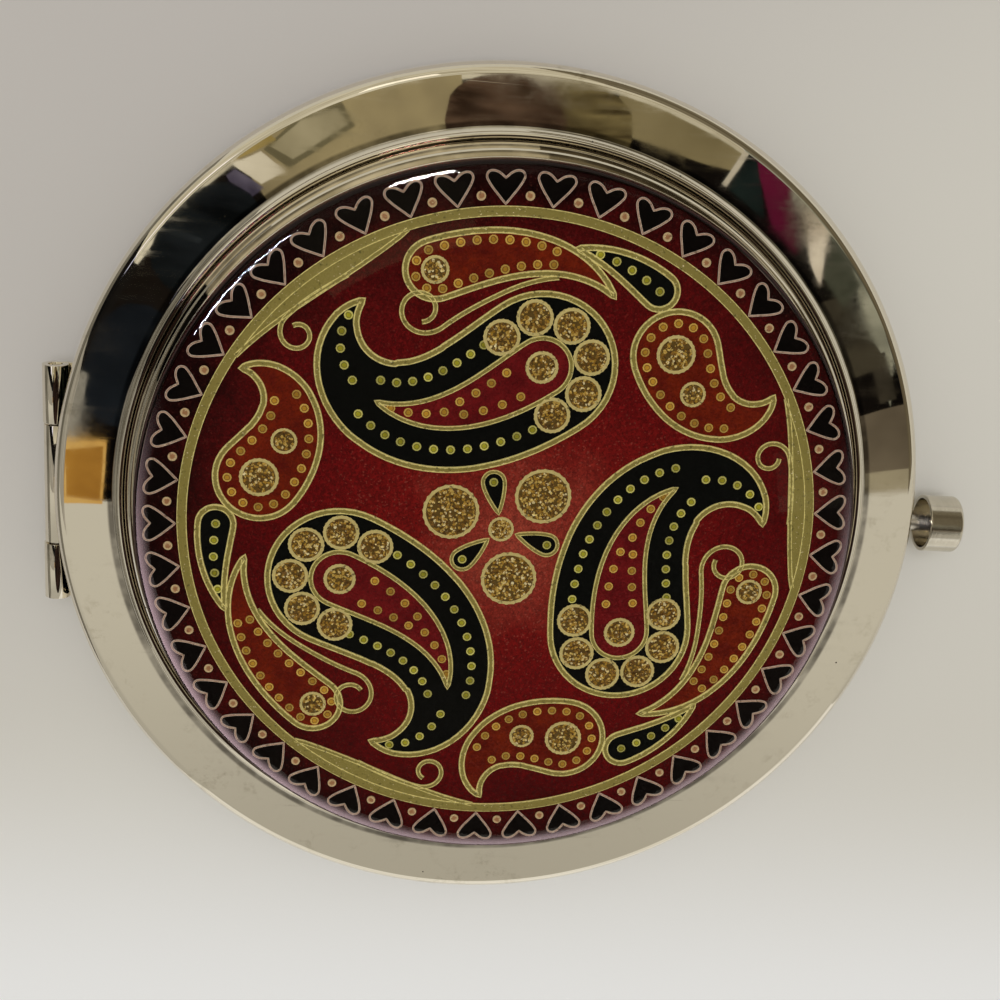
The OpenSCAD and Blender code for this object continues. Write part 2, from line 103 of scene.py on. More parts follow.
BASE_HIGH = reach("base_shell")[1]
LID_LOW, LID_HIGH = reach("lid_shell")
PLATE_LOW, PLATE_HIGH = reach("enamel_plate")
DOME_LOW, DOME_HIGH = reach("clear_dome")
PLAIN_LOW, PLAIN_HIGH = reach("plain_mirror")
DISHED_LOW, DISHED_HIGH = reach("magnifying_mirror")
BASE_RING_LOW = reach("base_mirror_ring")[0]
LID_RING_HIGH = reach("lid_mirror_ring")[1]
BEZEL_LOW = reach("lid_bezel")[0]
BARREL_LOW, BARREL_HIGH = reach("base_hinge_leaf")
MIDDLE_HIGH = reach("lid_hinge_leaf")[1]
PIN_LOW, PIN_HIGH = reach("hinge_pin")
CAP_LOW, CAP_HIGH = reach("button_cap")
STEM_LOW, STEM_HIGH = reach("button_stem")
SPRING_LOW, SPRING_HIGH = reach("button_spring")

# Places that the CAD's boxes don't give, in millimetres
CASE_X = BASE_HIGH.x
STEM_Z = (STEM_LOW.z + STEM_HIGH.z) / 2
BACK_RADIUS, BACK_INNER = 28.89, 28.64        # flat back of the base, outside and inside
BEAD_INSET = 0.65                             # band's inner edge to the middle of the bead
BEAD_GROOVE = 0.05                            # foot of the bead to the flat beside it
NOTCH_HALF, NOTCH_LOW, NOTCH_HIGH = 9.8, 2.6, 5.2    # room for the hinge barrel in both shells
NOTCH_OUT, NOTCH_IN = 1.6, 2.0                # that room's reach outside and inside the case's edge
STEM_HOLE = 0.7                               # radius of the hole for the button's stem
RING_RADIUS = 34.45                           # mirror rings, 0.05 inside the shells' rims
LEAF_WINDOW_X, LATCH_WINDOW_X = -29.4, 28.7   # where the rings open for the hinge leaves and the latch
LATCH_WINDOW_HALF, WINDOW_HEIGHT = 4.2, 6.4
WEB_X = -math.sqrt(33.9 ** 2 - 4.85 ** 2)     # hinge webs, where their corners meet the rims' inner side
TAB_X, DROP_X, FOOT_X = -33.8, -33.1, -31.1   # base leaf: leaves its knuckles, turns down, ends
LID_FOOT = 2                                  # length of the lid leaf's foot under the lid's panel
LAP = 0.2                                     # overlap of the strips that a leaf is joined from
PIN_RADIUS = 0.5
STEM_SHOULDER, TAIL_RADIUS = 33.24, 0.45      # stem: where its tail begins, and the tail
DOT_RISE = 0.07                               # dots of enamel above their field


class CompactCase(bpy.types.PropertyGroup):
    """Sizes and finish of the pressed case"""
    radius: length(BASE_HIGH.x, "Case radius", "Outer radius of both pressed shells")
    sheet: length(0.5, "Sheet", "Thickness of the pressed sheet")
    edge_radius: length(0.9, "Edge radius", "Radius of the rounded outer edge of each shell")
    band_width: length(4.6, "Band width", "Width of the polished band from the edge to the bead")
    band_fall: length(0.2, "Band fall", "How far the band falls towards its rounded edge")
    bead_radius: length(0.27, "Bead radius", "Radius of the rolled bead round the badge")
    bezel_height: length(3.3, "Badge wall", "Height of the badge's stepped wall")
    nickel: tint("#e6dfd0", "Nickel", "Colour of the polished nickel plate")
    smudges: share(0.5, "Smudges", "Strength of the finger smudges and hairlines")


class CompactBadge(bpy.types.PropertyGroup):
    """Sizes and colours of the enamelled plate and its border"""
    heart_count: IntProperty(name="Hearts", description="Number of hearts round the border", default=45,
                             min=6)
    heart_turn: FloatProperty(name="Border turn", description="Angle of the first heart from the case's X",
                              default=math.radians(3.94), subtype="ANGLE")
    heart_length: length(2.55, "Heart length", "Length of a heart from its point to its lobes")
    heart_width: length(2.95, "Heart width", "Width of a heart across its lobes")
    heart_wire: length(0.16, "Heart wire", "Width of the hearts' wires")
    hoop_radius: length(24.95, "Hoop radius", "Outer radius of the hoop inside the hearts")
    hoop_width: length(0.75, "Hoop width", "Width of the hoop")
    stud_size: length(0.7, "Stud", "Diameter of the small studs between the hearts")
    crimson: tint("#6e0d10", "Crimson", "Colour of the ground enamel half way out")
    # Lighter crimson of the painted highlight at the middle of the ground
    crimson_light: tint("#a8483a", "Light crimson", "Colour of the ground enamel at the middle")
    crimson_dark: tint("#420709", "Dark crimson", "Colour of the ground enamel at the rim")


class CompactPicture(bpy.types.PropertyGroup):
    """Sizes and colours of the picture inside the hoop"""
    wire: length(0.5, "Wire", "Width of the picture's raised wires")
    fine_wire: length(0.38, "Fine wire", "Width of the wires inside the forms")
    dot: length(0.7, "Dot", "Diameter of the enamel dots")
    dot_spacing: length(1.2, "Dot spacing", "Distance between neighbouring dots")
    disc: length(2.8, "Glitter disc", "Diameter of the glitter discs")
    flake: length(0.24, "Flake", "Size of one glitter flake")
    black: tint("#060908", "Black enamel", "Colour of the dark fields")
    orange: tint("#7d2408", "Orange enamel", "Colour of the orange-red fields")
    # The dots' colours are those of their painted lit middles
    amber: tint("#c0922c", "Amber dots", "Colour of the dots on the orange-red fields")
    green: tint("#aaa424", "Green dots", "Colour of the dots on the dark fields")
    gilt: tint("#988c48", "Gilt", "Colour of the gilt wires on their flat top")
    # The wires' edges in this colour are a painted highlight
    gilt_edge: tint("#fbee9e", "Bright gilt", "Colour of the gilt wires along their edges")
    glitter: tint("#c49a3a", "Glitter", "Colour of the glitter")


class CompactMirrors(bpy.types.PropertyGroup):
    """Sizes of the two mirrors and their rings"""
    glass_radius: length(PLAIN_HIGH.x, "Glass radius", "Radius of both mirror glasses")
    ring_lap: length(0.8, "Ring lap", "How far the rings lap over the glass")
    ring_sheet: length(0.3, "Ring sheet", "Thickness of the rings")
    dish_depth: length(0.6, "Dish depth", "Depth of the magnifying mirror's dish")
    silver: tint("#e9eeee", "Silver", "Colour of the silvering")


class CompactHinge(bpy.types.PropertyGroup):
    """Sizes of the three-knuckle hinge"""
    axis_x: length(PIN_LOW.x + PIN_RADIUS, "Axis X", "Place of the hinge's axis along X")
    axis_z: length(PIN_LOW.z + PIN_RADIUS, "Axis Z", "Height of the hinge's axis")
    end_radius: length(1.0, "End knuckles", "Outer radius of the two end knuckles")
    middle_radius: length(0.93, "Middle knuckle", "Outer radius of the middle knuckle")
    bore: length(0.55, "Bore", "Radius of the knuckles' bore")
    middle_length: length(9.7, "Middle length", "Length of the middle knuckle")
    knuckle_gap: length(0.15, "Knuckle gap", "Gap between neighbouring knuckles")


class CompactButton(bpy.types.PropertyGroup):
    """Sizes of the push button"""
    cap_radius: length(CAP_HIGH.y, "Cap radius", "Radius of the turned cap")
    cap_hollow: length(1.6, "Cap hollow", "Depth of the hollow in the cap's inner end")
    cap_wall: length(0.3, "Cap wall", "Wall of the hollow cap")
    stem_radius: length(STEM_HIGH.y, "Stem radius", "Radius of the stem outside the case")
    spring_turns: FloatProperty(name="Spring turns", description="Turns of the return spring", default=3,
                                min=1)
    spring_wire: length(0.2, "Spring wire", "Wire diameter of the return spring")


class CompactStage(bpy.types.PropertyGroup):
    """Camera, lights and floor"""
    lens: FloatProperty(name="Lens", description="Focal length on a 36 mm sensor", default=51.67,
                        unit="CAMERA")
    floor: tint("#c0bbb8", "Floor", "Colour of the pale floor")
    room: tint("#c6c2b6", "Room", "Colour of the pale room that the metal mirrors")
    card_height: length(250, "Card height", "Height of the studio cards above the case")
    key_power: FloatProperty(name="Key light", description="Power of the soft light from above the hinge",
                             default=2.0, min=0, unit="POWER")
    lamp_power: FloatProperty(name="Lamp", description="Power of the small lamp that glints in the dome",
                              default=2.4, min=0, unit="POWER")


GROUPS = {"compact_case": CompactCase, "compact_badge": CompactBadge, "compact_picture": CompactPicture,
          "compact_mirrors": CompactMirrors, "compact_hinge": CompactHinge, "compact_button": CompactButton,
          "compact_stage": CompactStage}


def mm(group, name):
    """A length property in millimetres."""
    return getattr(group, name) / MM


# Outlines, in millimetres

def arc(centre, radius, start, end, steps=10):
    """Points of an arc from start to end degrees, both included."""
    angles = [math.radians(start + (end - start) * i / steps) for i in range(steps + 1)]
    return [(centre[0] + radius * math.cos(a), centre[1] + radius * math.sin(a)) for a in angles]


def broken(outline, radius=EDGE, steps=3, least=25):
    """A closed outline with its corners rounded, and points that hold the flats beside them."""
    made = []
    count = len(outline)
    for i in range(count):
        before, here, after = (Vector(outline[j % count]) for j in (i - 1, i, i + 1))
        back, ahead = before - here, after - here
        on_axis = abs(here.x) < 1e-6
        turn = math.pi - back.angle(ahead, 0)
        if on_axis or turn < math.radians(least):
            made.append(tuple(here))
            continue
        run = min(radius * math.tan(turn / 2), back.length * 0.4, ahead.length * 0.4)
        first, last = here + back.normalized() * run, here + ahead.normalized() * run
        for k in range(steps + 1):
            t = k / steps
            made.append(tuple(first * (1 - t) ** 2 + here * 2 * t * (1 - t) + last * t ** 2))
    return held(made)


def held(outline):
    """Adds points near both ends of each long straight stretch, so that smooth shading stays there."""
    made = []
    count = len(outline)
    for i in range(count):
        here, after = Vector(outline[i]), Vector(outline[(i + 1) % count])
        made.append(tuple(here))
        span = (after - here).length
        if span > 5 * HOLD and not (abs(here.x) < 1e-6 and abs(after.x) < 1e-6):
            step = (after - here).normalized() * HOLD
            made += [tuple(here + step), tuple(after - step)]
    return made


def flowing(points, steps=6):
    """A smooth line through the points."""
    ends = [Vector(points[0]) * 2 - Vector(points[1])] + [Vector(p) for p in points]
    ends.append(Vector(points[-1]) * 2 - Vector(points[-2]))
    made = []
    for a, b, c, d in zip(ends, ends[1:], ends[2:], ends[3:]):
        for k in range(steps):
            t = k / steps
            made.append(tuple(0.5 * (2 * b + (c - a) * t + (2 * a - 5 * b + 4 * c - d) * t ** 2
                                     + (3 * b - a - 3 * c + d) * t ** 3)))
    return made + [tuple(points[-1])]


# Meshes

def mesh_object(name, corners, faces, edges=(), scale=MM):
    """A mesh object from corners in millimetres, at the origin, with its place in its mesh."""
    mesh = bpy.data.meshes.new(name)
    mesh.from_pydata([tuple(c * scale for c in p) for p in corners], edges, faces)
    made = bpy.data.objects.new(name, mesh)
    bpy.context.scene.collection.objects.link(made)
    return made


def tidy(piece, flip=True):
    """Merges doubles, turns faces outwards and shades the piece smooth between its sharp edges."""
    work = bmesh.new()
    work.from_mesh(piece.data)
    bmesh.ops.remove_doubles(work, verts=work.verts, dist=1e-8)
    bmesh.ops.dissolve_degenerate(work, edges=work.edges, dist=1e-8)
    if flip:
        bmesh.ops.recalc_face_normals(work, faces=work.faces)
    work.to_mesh(piece.data)
    work.free()
    piece.data.polygons.foreach_set("use_smooth", [True] * len(piece.data.polygons))
    piece.data.set_sharp_from_angle(angle=SHARP)
    piece.data.update()
    return piece


def turned(name, outline, steps=ROUND_STEPS, place=None):
    """A closed solid turned from a closed outline of (radius, height); place maps (x, y, height) to the
    part."""
    corners, rows = [], []
    for radius, height in outline:
        if radius < 1e-6:
            rows.append([len(corners)] * steps)
            corners.append((0.0, 0.0, height))
        else:
            rows.append(list(range(len(corners), len(corners) + steps)))
            corners += [(radius * math.cos(TURN * k / steps), radius * math.sin(TURN * k / steps), height)
                        for k in range(steps)]
    faces = []
    for row, following in zip(rows, rows[1:] + rows[:1]):
        if row[0] == row[1] and following[0] == following[1]:
            continue
        for k in range(steps):
            j = (k + 1) % steps
            ring = [row[k], row[j], following[j], following[k]]
            faces.append(list(dict.fromkeys(ring)))
    if place:
        corners = [place(*c) for c in corners]
    return tidy(mesh_object(name, corners, faces))


def plate(name, outline, low, high, place=None):
    """A flat plate between two heights from a closed outline of (x, y)."""
    count = len(outline)
    corners = [(x, y, low) for x, y in outline] + [(x, y, high) for x, y in outline]
    faces = [list(range(count))[::-1], list(range(count, 2 * count))]
    faces += [[k, (k + 1) % count, count + (k + 1) % count, count + k] for k in range(count)]
    if place:
        corners = [place(*c) for c in corners]
    return tidy(mesh_object(name, corners, faces))


def joined(name, parts):
    """One object with the meshes of several, and their materials as they are."""
    work = bmesh.new()
    for part in parts:
        work.from_mesh(part.data)
    mesh = bpy.data.meshes.new(name)
    work.to_mesh(mesh)
    work.free()
    for part in parts:
        bpy.data.objects.remove(part)
    made = bpy.data.objects.new(name, mesh)
    bpy.context.scene.collection.objects.link(made)
    return made


def settled(piece):
    """Makes the result of a piece's modifiers its plain mesh, and takes the modifiers off."""
    graph = bpy.context.evaluated_depsgraph_get()
    graph.update()
    mesh = bpy.data.meshes.new_from_object(piece.evaluated_get(graph), preserve_all_data_layers=True,
                                           depsgraph=graph)
    piece.modifiers.clear()
    piece.data = mesh
    return piece


def cut(piece, tool, operation="DIFFERENCE"):
    """Cuts the tool out of the piece, or adds it, and removes the tool."""
    change = piece.modifiers.new("cut", "BOOLEAN")
    change.operation = operation
    change.solver = "EXACT"
    change.object = tool
    settled(piece)
    bpy.data.objects.remove(tool)
    return tidy(piece, flip=False)


def block(low, high):
    """A cutting block between two corners."""
    outline = [(low[0], low[1]), (high[0], low[1]), (high[0], high[1]), (low[0], high[1])]
    return plate("block", outline, low[2], high[2])


def finished(piece, body, slot, materials, *nodes):
    """Gives a piece its materials, its body and the CAD nodes that it stands for."""
    if materials:
        faces = [face.material_index for face in piece.data.polygons]
        piece.data.materials.clear()
        for one in materials:
            piece.data.materials.append(one)
        piece.data.polygons.foreach_set("material_index", faces)
    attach(piece, body)
    if nodes:
        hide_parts(*nodes)
    return piece


# Nodes

MATH, VECTOR, RANGE, MIX = "ShaderNodeMath", "ShaderNodeVectorMath", "ShaderNodeMapRange", "ShaderNodeMix"
NOISE, CELLS, MAPPING = "ShaderNodeTexNoise", "ShaderNodeTexVoronoi", "ShaderNodeMapping"
RAMP, BUMP, SURFACE = "ShaderNodeValToRGB", "ShaderNodeBump", "ShaderNodeBsdfPrincipled"
OUTPUT, ATTRIBUTE = "ShaderNodeOutputMaterial", "ShaderNodeAttribute"
SPLIT, JOIN, TONES = "ShaderNodeSeparateXYZ", "ShaderNodeCombineXYZ", "ShaderNodeSeparateColor"
STORE, INSTANCES = "GeometryNodeStoreNamedAttribute", "GeometryNodeInstanceOnPoints"
SMOOTH = {"interpolation_type": "SMOOTHSTEP"}
COLOUR = {"data_type": "RGBA"}


def add(tree, kind, *values, out=None, stops=(), **settings):
    """Adds a node with its settings and links, and gives its output. Values and sockets fill the inputs
    in use in order, or by name where they come in a dict; out picks another output than the first in use."""
    made = tree.nodes.new(kind)
    for name, value in settings.items():
        setattr(made, name, value)
    if values and isinstance(values[0], dict):
        filled = [(made.inputs[name], value) for name, value in values[0].items()]
    else:
        filled = list(zip([socket for socket in made.inputs if socket.enabled], values))
    for socket, value in filled:
        if isinstance(value, bpy.types.NodeSocket):
            tree.links.new(value, socket)
        elif socket.type == "RGBA" and len(value) == 3:
            socket.default_value = (*value, 1)
        else:
            socket.default_value = value
    if stops:
        marks = made.color_ramp.elements
        while len(marks) < len(stops):
            marks.new(0.5)
        for mark, (position, colour) in zip(marks, stops):
            mark.position = position
            mark.color = (*colour, 1)
    if out is not None:
        return made.outputs[out]
    return next((socket for socket in made.outputs if socket.enabled), None)


def per_metre(size):
    """Scale of a pattern whose grains are about size millimetres wide."""
    return 1 / (size * MM)


def material(name, clear=False):
    """An empty node material, its tree, and the piece's own coordinates in metres."""
    made = bpy.data.materials.new(name)
    made.use_nodes = True
    made.node_tree.nodes.clear()
    if clear:
        made.surface_render_method = "BLENDED"
    return made, made.node_tree, add(made.node_tree, "ShaderNodeTexCoord", out="Object")


def from_axis(tree, place):
    """Distance from the case's axis, in metres."""
    return add(tree, VECTOR, add(tree, VECTOR, place, (1, 1, 0), operation="MULTIPLY"), operation="LENGTH")


def wander(tree, place, size, detail, reach_mm):
    """A noise about zero that is reach_mm from its lowest to its highest, with grains of size millimetres."""
    cloud = add(tree, NOISE, place, per_metre(size), detail, 0.6)
    return add(tree, MATH, add(tree, MATH, cloud, 0.5, operation="SUBTRACT"), reach_mm, operation="MULTIPLY")


# Metal finishes

def hairlines(tree, place, length_mm, width_mm, turn, share_left):
    """Fine straight scratches of about the given length and width, 0 to 1."""
    drawn = add(tree, MAPPING, {"Vector": place, "Rotation": (0, 0, turn),
                                "Scale": (1 / length_mm, 1 / width_mm, 1 / length_mm)})
    lines = add(tree, NOISE, drawn, per_metre(1.0), 2.0, 0.5)
    return add(tree, RANGE, lines, 1 - share_left, 1 - share_left + 0.06)


CREASE_LINE_AT = 30.5        # mm, where a dark line is painted into the crease between the band and the bead


def polished_nickel(case):
    """Bright nickel plate on buffed pressed steel: a slightly warm mirror with finger smudges, hairlines,
    dust specks, a dark line painted into the crease beside the bead and the faint waves that pressing leaves."""
    made, tree, place = material("polished_nickel")
    smudge = add(tree, RANGE, add(tree, NOISE, place, per_metre(7.0), 6.0, 0.62), 0.46, 0.72, **SMOOTH)
    wiped = add(tree, MAPPING, {"Vector": place, "Rotation": (0, 0, 0.6), "Scale": (0.16, 1.4, 0.5)})
    wipes = add(tree, RANGE, add(tree, NOISE, wiped, per_metre(1.0), 3.0, 0.6), 0.5, 0.75)
    lines = add(tree, MATH, hairlines(tree, place, 14.0, 0.11, 0.5, 0.27),
                hairlines(tree, place, 9.0, 0.1, -1.1, 0.26), operation="MAXIMUM")
    specks = add(tree, CELLS, place, per_metre(1.7))
    chosen = add(tree, RANGE, add(tree, TONES, specks.node.outputs["Color"]), 0.72, 0.74)
    speck = add(tree, MATH, add(tree, RANGE, specks, 0.05, 0.028), chosen, operation="MULTIPLY")

    film = add(tree, MATH, add(tree, MATH, smudge, 0.06, operation="MULTIPLY"),
               add(tree, MATH, wipes, 0.035, operation="MULTIPLY"), operation="ADD")
    worn = add(tree, MATH, film, add(tree, MATH, lines, 0.02, operation="MULTIPLY"), operation="ADD")
    gloss = add(tree, MATH, add(tree, MATH, worn, case.smudges * 2, operation="MULTIPLY"), 0.018,
                operation="ADD")
    rough = add(tree, MATH, gloss, add(tree, MATH, speck, 0.5, operation="MULTIPLY"), operation="ADD")

    stain = add(tree, RANGE, add(tree, NOISE, place, per_metre(1.1), 5.0, 0.7), 0.5, 0.66, **SMOOTH)
    stained = add(tree, MATH, smudge, add(tree, MATH, stain, case.smudges, operation="MULTIPLY"),
                  operation="MULTIPLY")
    clean = add(tree, MIX, stained, case.nickel, linear("#b3aa93"), **COLOUR)
    dusty = add(tree, MIX, speck, clean, linear("#3a3229"), **COLOUR)
    # A dark line painted into the crease between the band and the bead, in patches
    off = add(tree, MATH, from_axis(tree, place), CREASE_LINE_AT * MM, operation="SUBTRACT")
    off = add(tree, MATH, off, operation="ABSOLUTE")
    line = add(tree, RANGE, off, 0.12 * MM, 0.38 * MM, 0.75, 0.0, **SMOOTH)
    patchy = add(tree, RANGE, add(tree, NOISE, place, per_metre(3.0), 3.0, 0.6), 0.3, 0.6, 0.45, 1.0)
    crease_line = add(tree, MATH, line, patchy, operation="MULTIPLY")
    dusty = add(tree, MIX, crease_line, dusty, linear("#2b211b"), **COLOUR)

    waves = add(tree, NOISE, place, per_metre(5.0), 2.0, 0.4)
    bump = add(tree, BUMP, {"Strength": 0.12, "Distance": 0.02 * MM, "Height": waves})
    scratch = add(tree, BUMP, {"Strength": 0.03, "Distance": 0.004 * MM, "Height": lines, "Normal": bump})
    add(tree, OUTPUT, add(tree, SURFACE, {"Base Color": dusty, "Metallic": 1.0, "Roughness": rough,
                                          "Normal": scratch}))
    return made


def brushed_metal(name, light, dark, stretch, roughness):
    """Metal with a drawn or brushed grain; the stretch says which way and how finely the grain runs."""
    made, tree, place = material(name)
    drawn = add(tree, MAPPING, {"Vector": place, "Scale": stretch})
    grain = add(tree, NOISE, drawn, per_metre(1.0), 5.0, 0.7)
    cloud = add(tree, NOISE, place, per_metre(2.5), 3.0, 0.6)
    colour = add(tree, MIX, add(tree, RANGE, grain, 0.3, 0.7), linear(dark), linear(light), **COLOUR)
    colour = add(tree, MIX, add(tree, RANGE, cloud, 0.45, 0.8, 0.0, 0.3), colour, linear("#8f8a80"), **COLOUR)
    rough = add(tree, RANGE, grain, 0.3, 0.7, roughness + 0.1, roughness)
    bump = add(tree, BUMP, {"Strength": 0.3, "Distance": 0.01 * MM, "Height": grain})
    add(tree, OUTPUT, add(tree, SURFACE, {"Base Color": colour, "Metallic": 1.0, "Roughness": rough,
                                          "Normal": bump}))
    return made


def silvering(mirrors):
    """Silver behind clear glass: a clean bright mirror with a few dust motes and faint wipe marks."""
    made, tree, place = material("silvered_glass")
    wiped = add(tree, MAPPING, {"Vector": place, "Rotation": (0, 0, 0.9), "Scale": (0.07, 0.5, 0.2)})
    wipes = add(tree, RANGE, add(tree, NOISE, wiped, per_metre(1.0), 3.0, 0.6), 0.52, 0.8)
    mote = add(tree, RANGE, add(tree, CELLS, place, per_metre(2.6)), 0.03, 0.02)
    rough = add(tree, MATH, add(tree, MATH, wipes, 0.03, operation="MULTIPLY"),
                add(tree, MATH, mote, 0.4, operation="MULTIPLY"), operation="ADD")
    colour = add(tree, MIX, mote, mirrors.silver, linear("#b9b6ae"), **COLOUR)
    add(tree, OUTPUT, add(tree, SURFACE, {"Base Color": colour, "Metallic": 1.0,
                                          "Roughness": add(tree, MATH, rough, 0.012, operation="ADD")}))
    return made


def ground_glass():
    """Ground edge of float glass: pale green, matt, with fine grinding lines round it."""
    made, tree, place = material("ground_glass_edge")
    drawn = add(tree, MAPPING, {"Vector": place, "Scale": (0.6, 0.6, 14.0)})
    lines = add(tree, RANGE, add(tree, NOISE, drawn, per_metre(1.0), 3.0, 0.6), 0.35, 0.65)
    grit = add(tree, NOISE, place, per_metre(0.12), 2.0, 0.6)
    colour = add(tree, MIX, lines, linear("#7fa596"), linear("#bfd8cc"), **COLOUR)
    bump = add(tree, BUMP, {"Strength": 0.4, "Distance": 0.01 * MM, "Height": grit})
    add(tree, OUTPUT, add(tree, SURFACE, {"Base Color": colour, "Roughness": 0.42, "IOR": 1.52,
                                          "Normal": bump}))
    return made


def backing_paint():
    """Grey protective paint on the back of the glass, rolled on, with a slight orange peel."""
    made, tree, place = material("mirror_backing_paint")
    peel = add(tree, NOISE, place, per_metre(0.4), 3.0, 0.6)
    cloud = add(tree, NOISE, place, per_metre(4.0), 4.0, 0.6)
    colour = add(tree, MIX, cloud, linear("#5c6064"), linear("#70757a"), **COLOUR)
    bump = add(tree, BUMP, {"Strength": 0.3, "Distance": 0.02 * MM, "Height": peel})
    add(tree, OUTPUT, add(tree, SURFACE, {"Base Color": colour, "Roughness": 0.55, "Normal": bump}))
    return made


def adhesive_foam():
    """Thin white closed-cell foam tape: matt, with cells of about 0.15 mm drawn a little coarse to show."""
    made, tree, place = material("adhesive_foam")
    cells = add(tree, CELLS, place, per_metre(0.25))
    colour = add(tree, MIX, add(tree, RANGE, cells, 0.0, 0.7), linear("#d9d6cd"), linear("#f1efe9"), **COLOUR)
    bump = add(tree, BUMP, {"Strength": 0.5, "Distance": 0.03 * MM, "Height": cells})
    add(tree, OUTPUT, add(tree, SURFACE, {"Base Color": colour, "Roughness": 0.8, "Normal": bump}))
    return made


# Enamel finishes

def sparkle_normal(tree, place, size, strength):
    """A normal that leans another way in each grain of about size millimetres, as mica in enamel does, and
    the grains' random tones."""
    grains = add(tree, CELLS, place, per_metre(size), out="Color")
    lean = add(tree, VECTOR, grains, (0.5, 0.5, 0.5), operation="SUBTRACT")
    lean = add(tree, VECTOR, lean, strength, operation="SCALE")
    face = add(tree, "ShaderNodeNewGeometry", out="Normal")
    return add(tree, VECTOR, add(tree, VECTOR, face, lean, operation="ADD"), operation="NORMALIZE"), grains


def crimson_enamel(badge):
    """Translucent crimson enamel with fine mica over bright metal: a painted highlight at the middle, wine at
    the rim, and grainy close up. The grains are drawn 0.12 mm wide so that they show."""
    made, tree, place = material("crimson_enamel")
    # The ramp's middle sits a little off the axis, where the painted highlight falls
    centred = add(tree, MAPPING, {"Vector": place, "Location": (-0.0015, 0.001, 0), "Scale": (1, 1, 0)})
    far = add(tree, VECTOR, centred, operation="LENGTH")
    uneven = add(tree, MATH, far, wander(tree, place, 9.0, 3.0, 0.012), operation="ADD")
    at = add(tree, MATH, uneven, 1 / (PLATE_HIGH.x * MM), operation="MULTIPLY")
    # Light at the middle is a painted highlight; the ramp darkens towards the rim
    ground = add(tree, RAMP, at, stops=[
        (0.0, badge.crimson_light), (0.3, linear("#7c1514")), (0.55, badge.crimson), (0.8, linear("#5a0a0d")),
        (0.93, badge.crimson_dark), (1.0, linear("#220304"))])
    normal, grains = sparkle_normal(tree, place, 0.12, 0.6)
    tone = add(tree, TONES, grains).node.outputs
    fine = add(tree, RANGE, tone[1], 0.0, 1.0, 0.7, 1.34)
    mottle = add(tree, RANGE, add(tree, NOISE, place, per_metre(0.4), 3.0, 0.6), 0.3, 0.7, 0.76, 1.22)
    shade = add(tree, VECTOR, ground, add(tree, MATH, fine, mottle, operation="MULTIPLY"), operation="SCALE")
    # Mica flecks, painted rosier towards the middle as part of the painted highlight
    lit_fleck = add(tree, MATH, add(tree, RANGE, tone[2], 0.93, 0.97, 0.0, 0.4),
                add(tree, RANGE, at, 0.1, 0.75, 1.0, 0.15), operation="MULTIPLY")
    shade = add(tree, MIX, lit_fleck, shade, linear("#b8685a"), **COLOUR)
    add(tree, OUTPUT, add(tree, SURFACE, {"Base Color": shade, "Metallic": 0.4, "Roughness": 0.5,
                                          "Specular IOR Level": 0.12, "Normal": normal}))
    return made


def field_enamel(name, deep, light, grain, metallic=0.0):
    """Opaque enamel in a wire cell: darker where it pools, with a slight grain of ground glass."""
    made, tree, place = material(name)
    cloud = add(tree, RANGE, add(tree, NOISE, place, per_metre(1.6), 4.0, 0.6), 0.3, 0.72)
    normal, grains = sparkle_normal(tree, place, 0.14, grain)
    pooled = add(tree, MIX, cloud, deep, light, **COLOUR)
    tone = add(tree, RANGE, add(tree, TONES, grains), 0.0, 1.0, 0.8, 1.2)
    colour = add(tree, VECTOR, pooled, tone, operation="SCALE")
    add(tree, OUTPUT, add(tree, SURFACE, {"Base Color": colour, "Metallic": metallic, "Roughness": 0.42,
                                          "Specular IOR Level": 0.12, "Normal": normal}))
    return made


def ribbon_metal(name, flat, edge, tarnish, roughness=0.36):
    """Thin plated ribbon between enamels: its edges are painted light as a highlight and its flat top is duller,
    with small tarnish spots and painted pin-point glints. The attribute rim is 1 at its edges."""
    made, tree, place = material(name)
    rim = add(tree, ATTRIBUTE, attribute_name="rim", out="Fac")
    uneven = add(tree, MATH, rim, wander(tree, place, 0.22, 3.0, 0.9), operation="ADD")
    # Painted highlight: the colour turns to the light edge colour along the rim
    colour = add(tree, MIX, add(tree, RANGE, uneven, 0.4, 0.74, **SMOOTH), flat, edge, **COLOUR)
    spots = add(tree, RANGE, add(tree, NOISE, place, per_metre(0.35), 2.0, 0.5), 0.62, 0.72)
    colour = add(tree, MIX, add(tree, MATH, spots, 0.7, operation="MULTIPLY"), colour, tarnish, **COLOUR)
    # Painted glints: pin-points of pale colour
    painted_glint = add(tree, RANGE, add(tree, NOISE, place, per_metre(0.16), 1.0, 0.6), 0.7, 0.76)
    colour = add(tree, MIX, painted_glint, colour, linear("#f3e7bd"), **COLOUR)
    normal, _ = sparkle_normal(tree, place, 0.1, 0.35)
    add(tree, OUTPUT, add(tree, SURFACE, {"Base Color": colour, "Metallic": 0.25, "Roughness": roughness,
                                          "Normal": normal}))
    return made


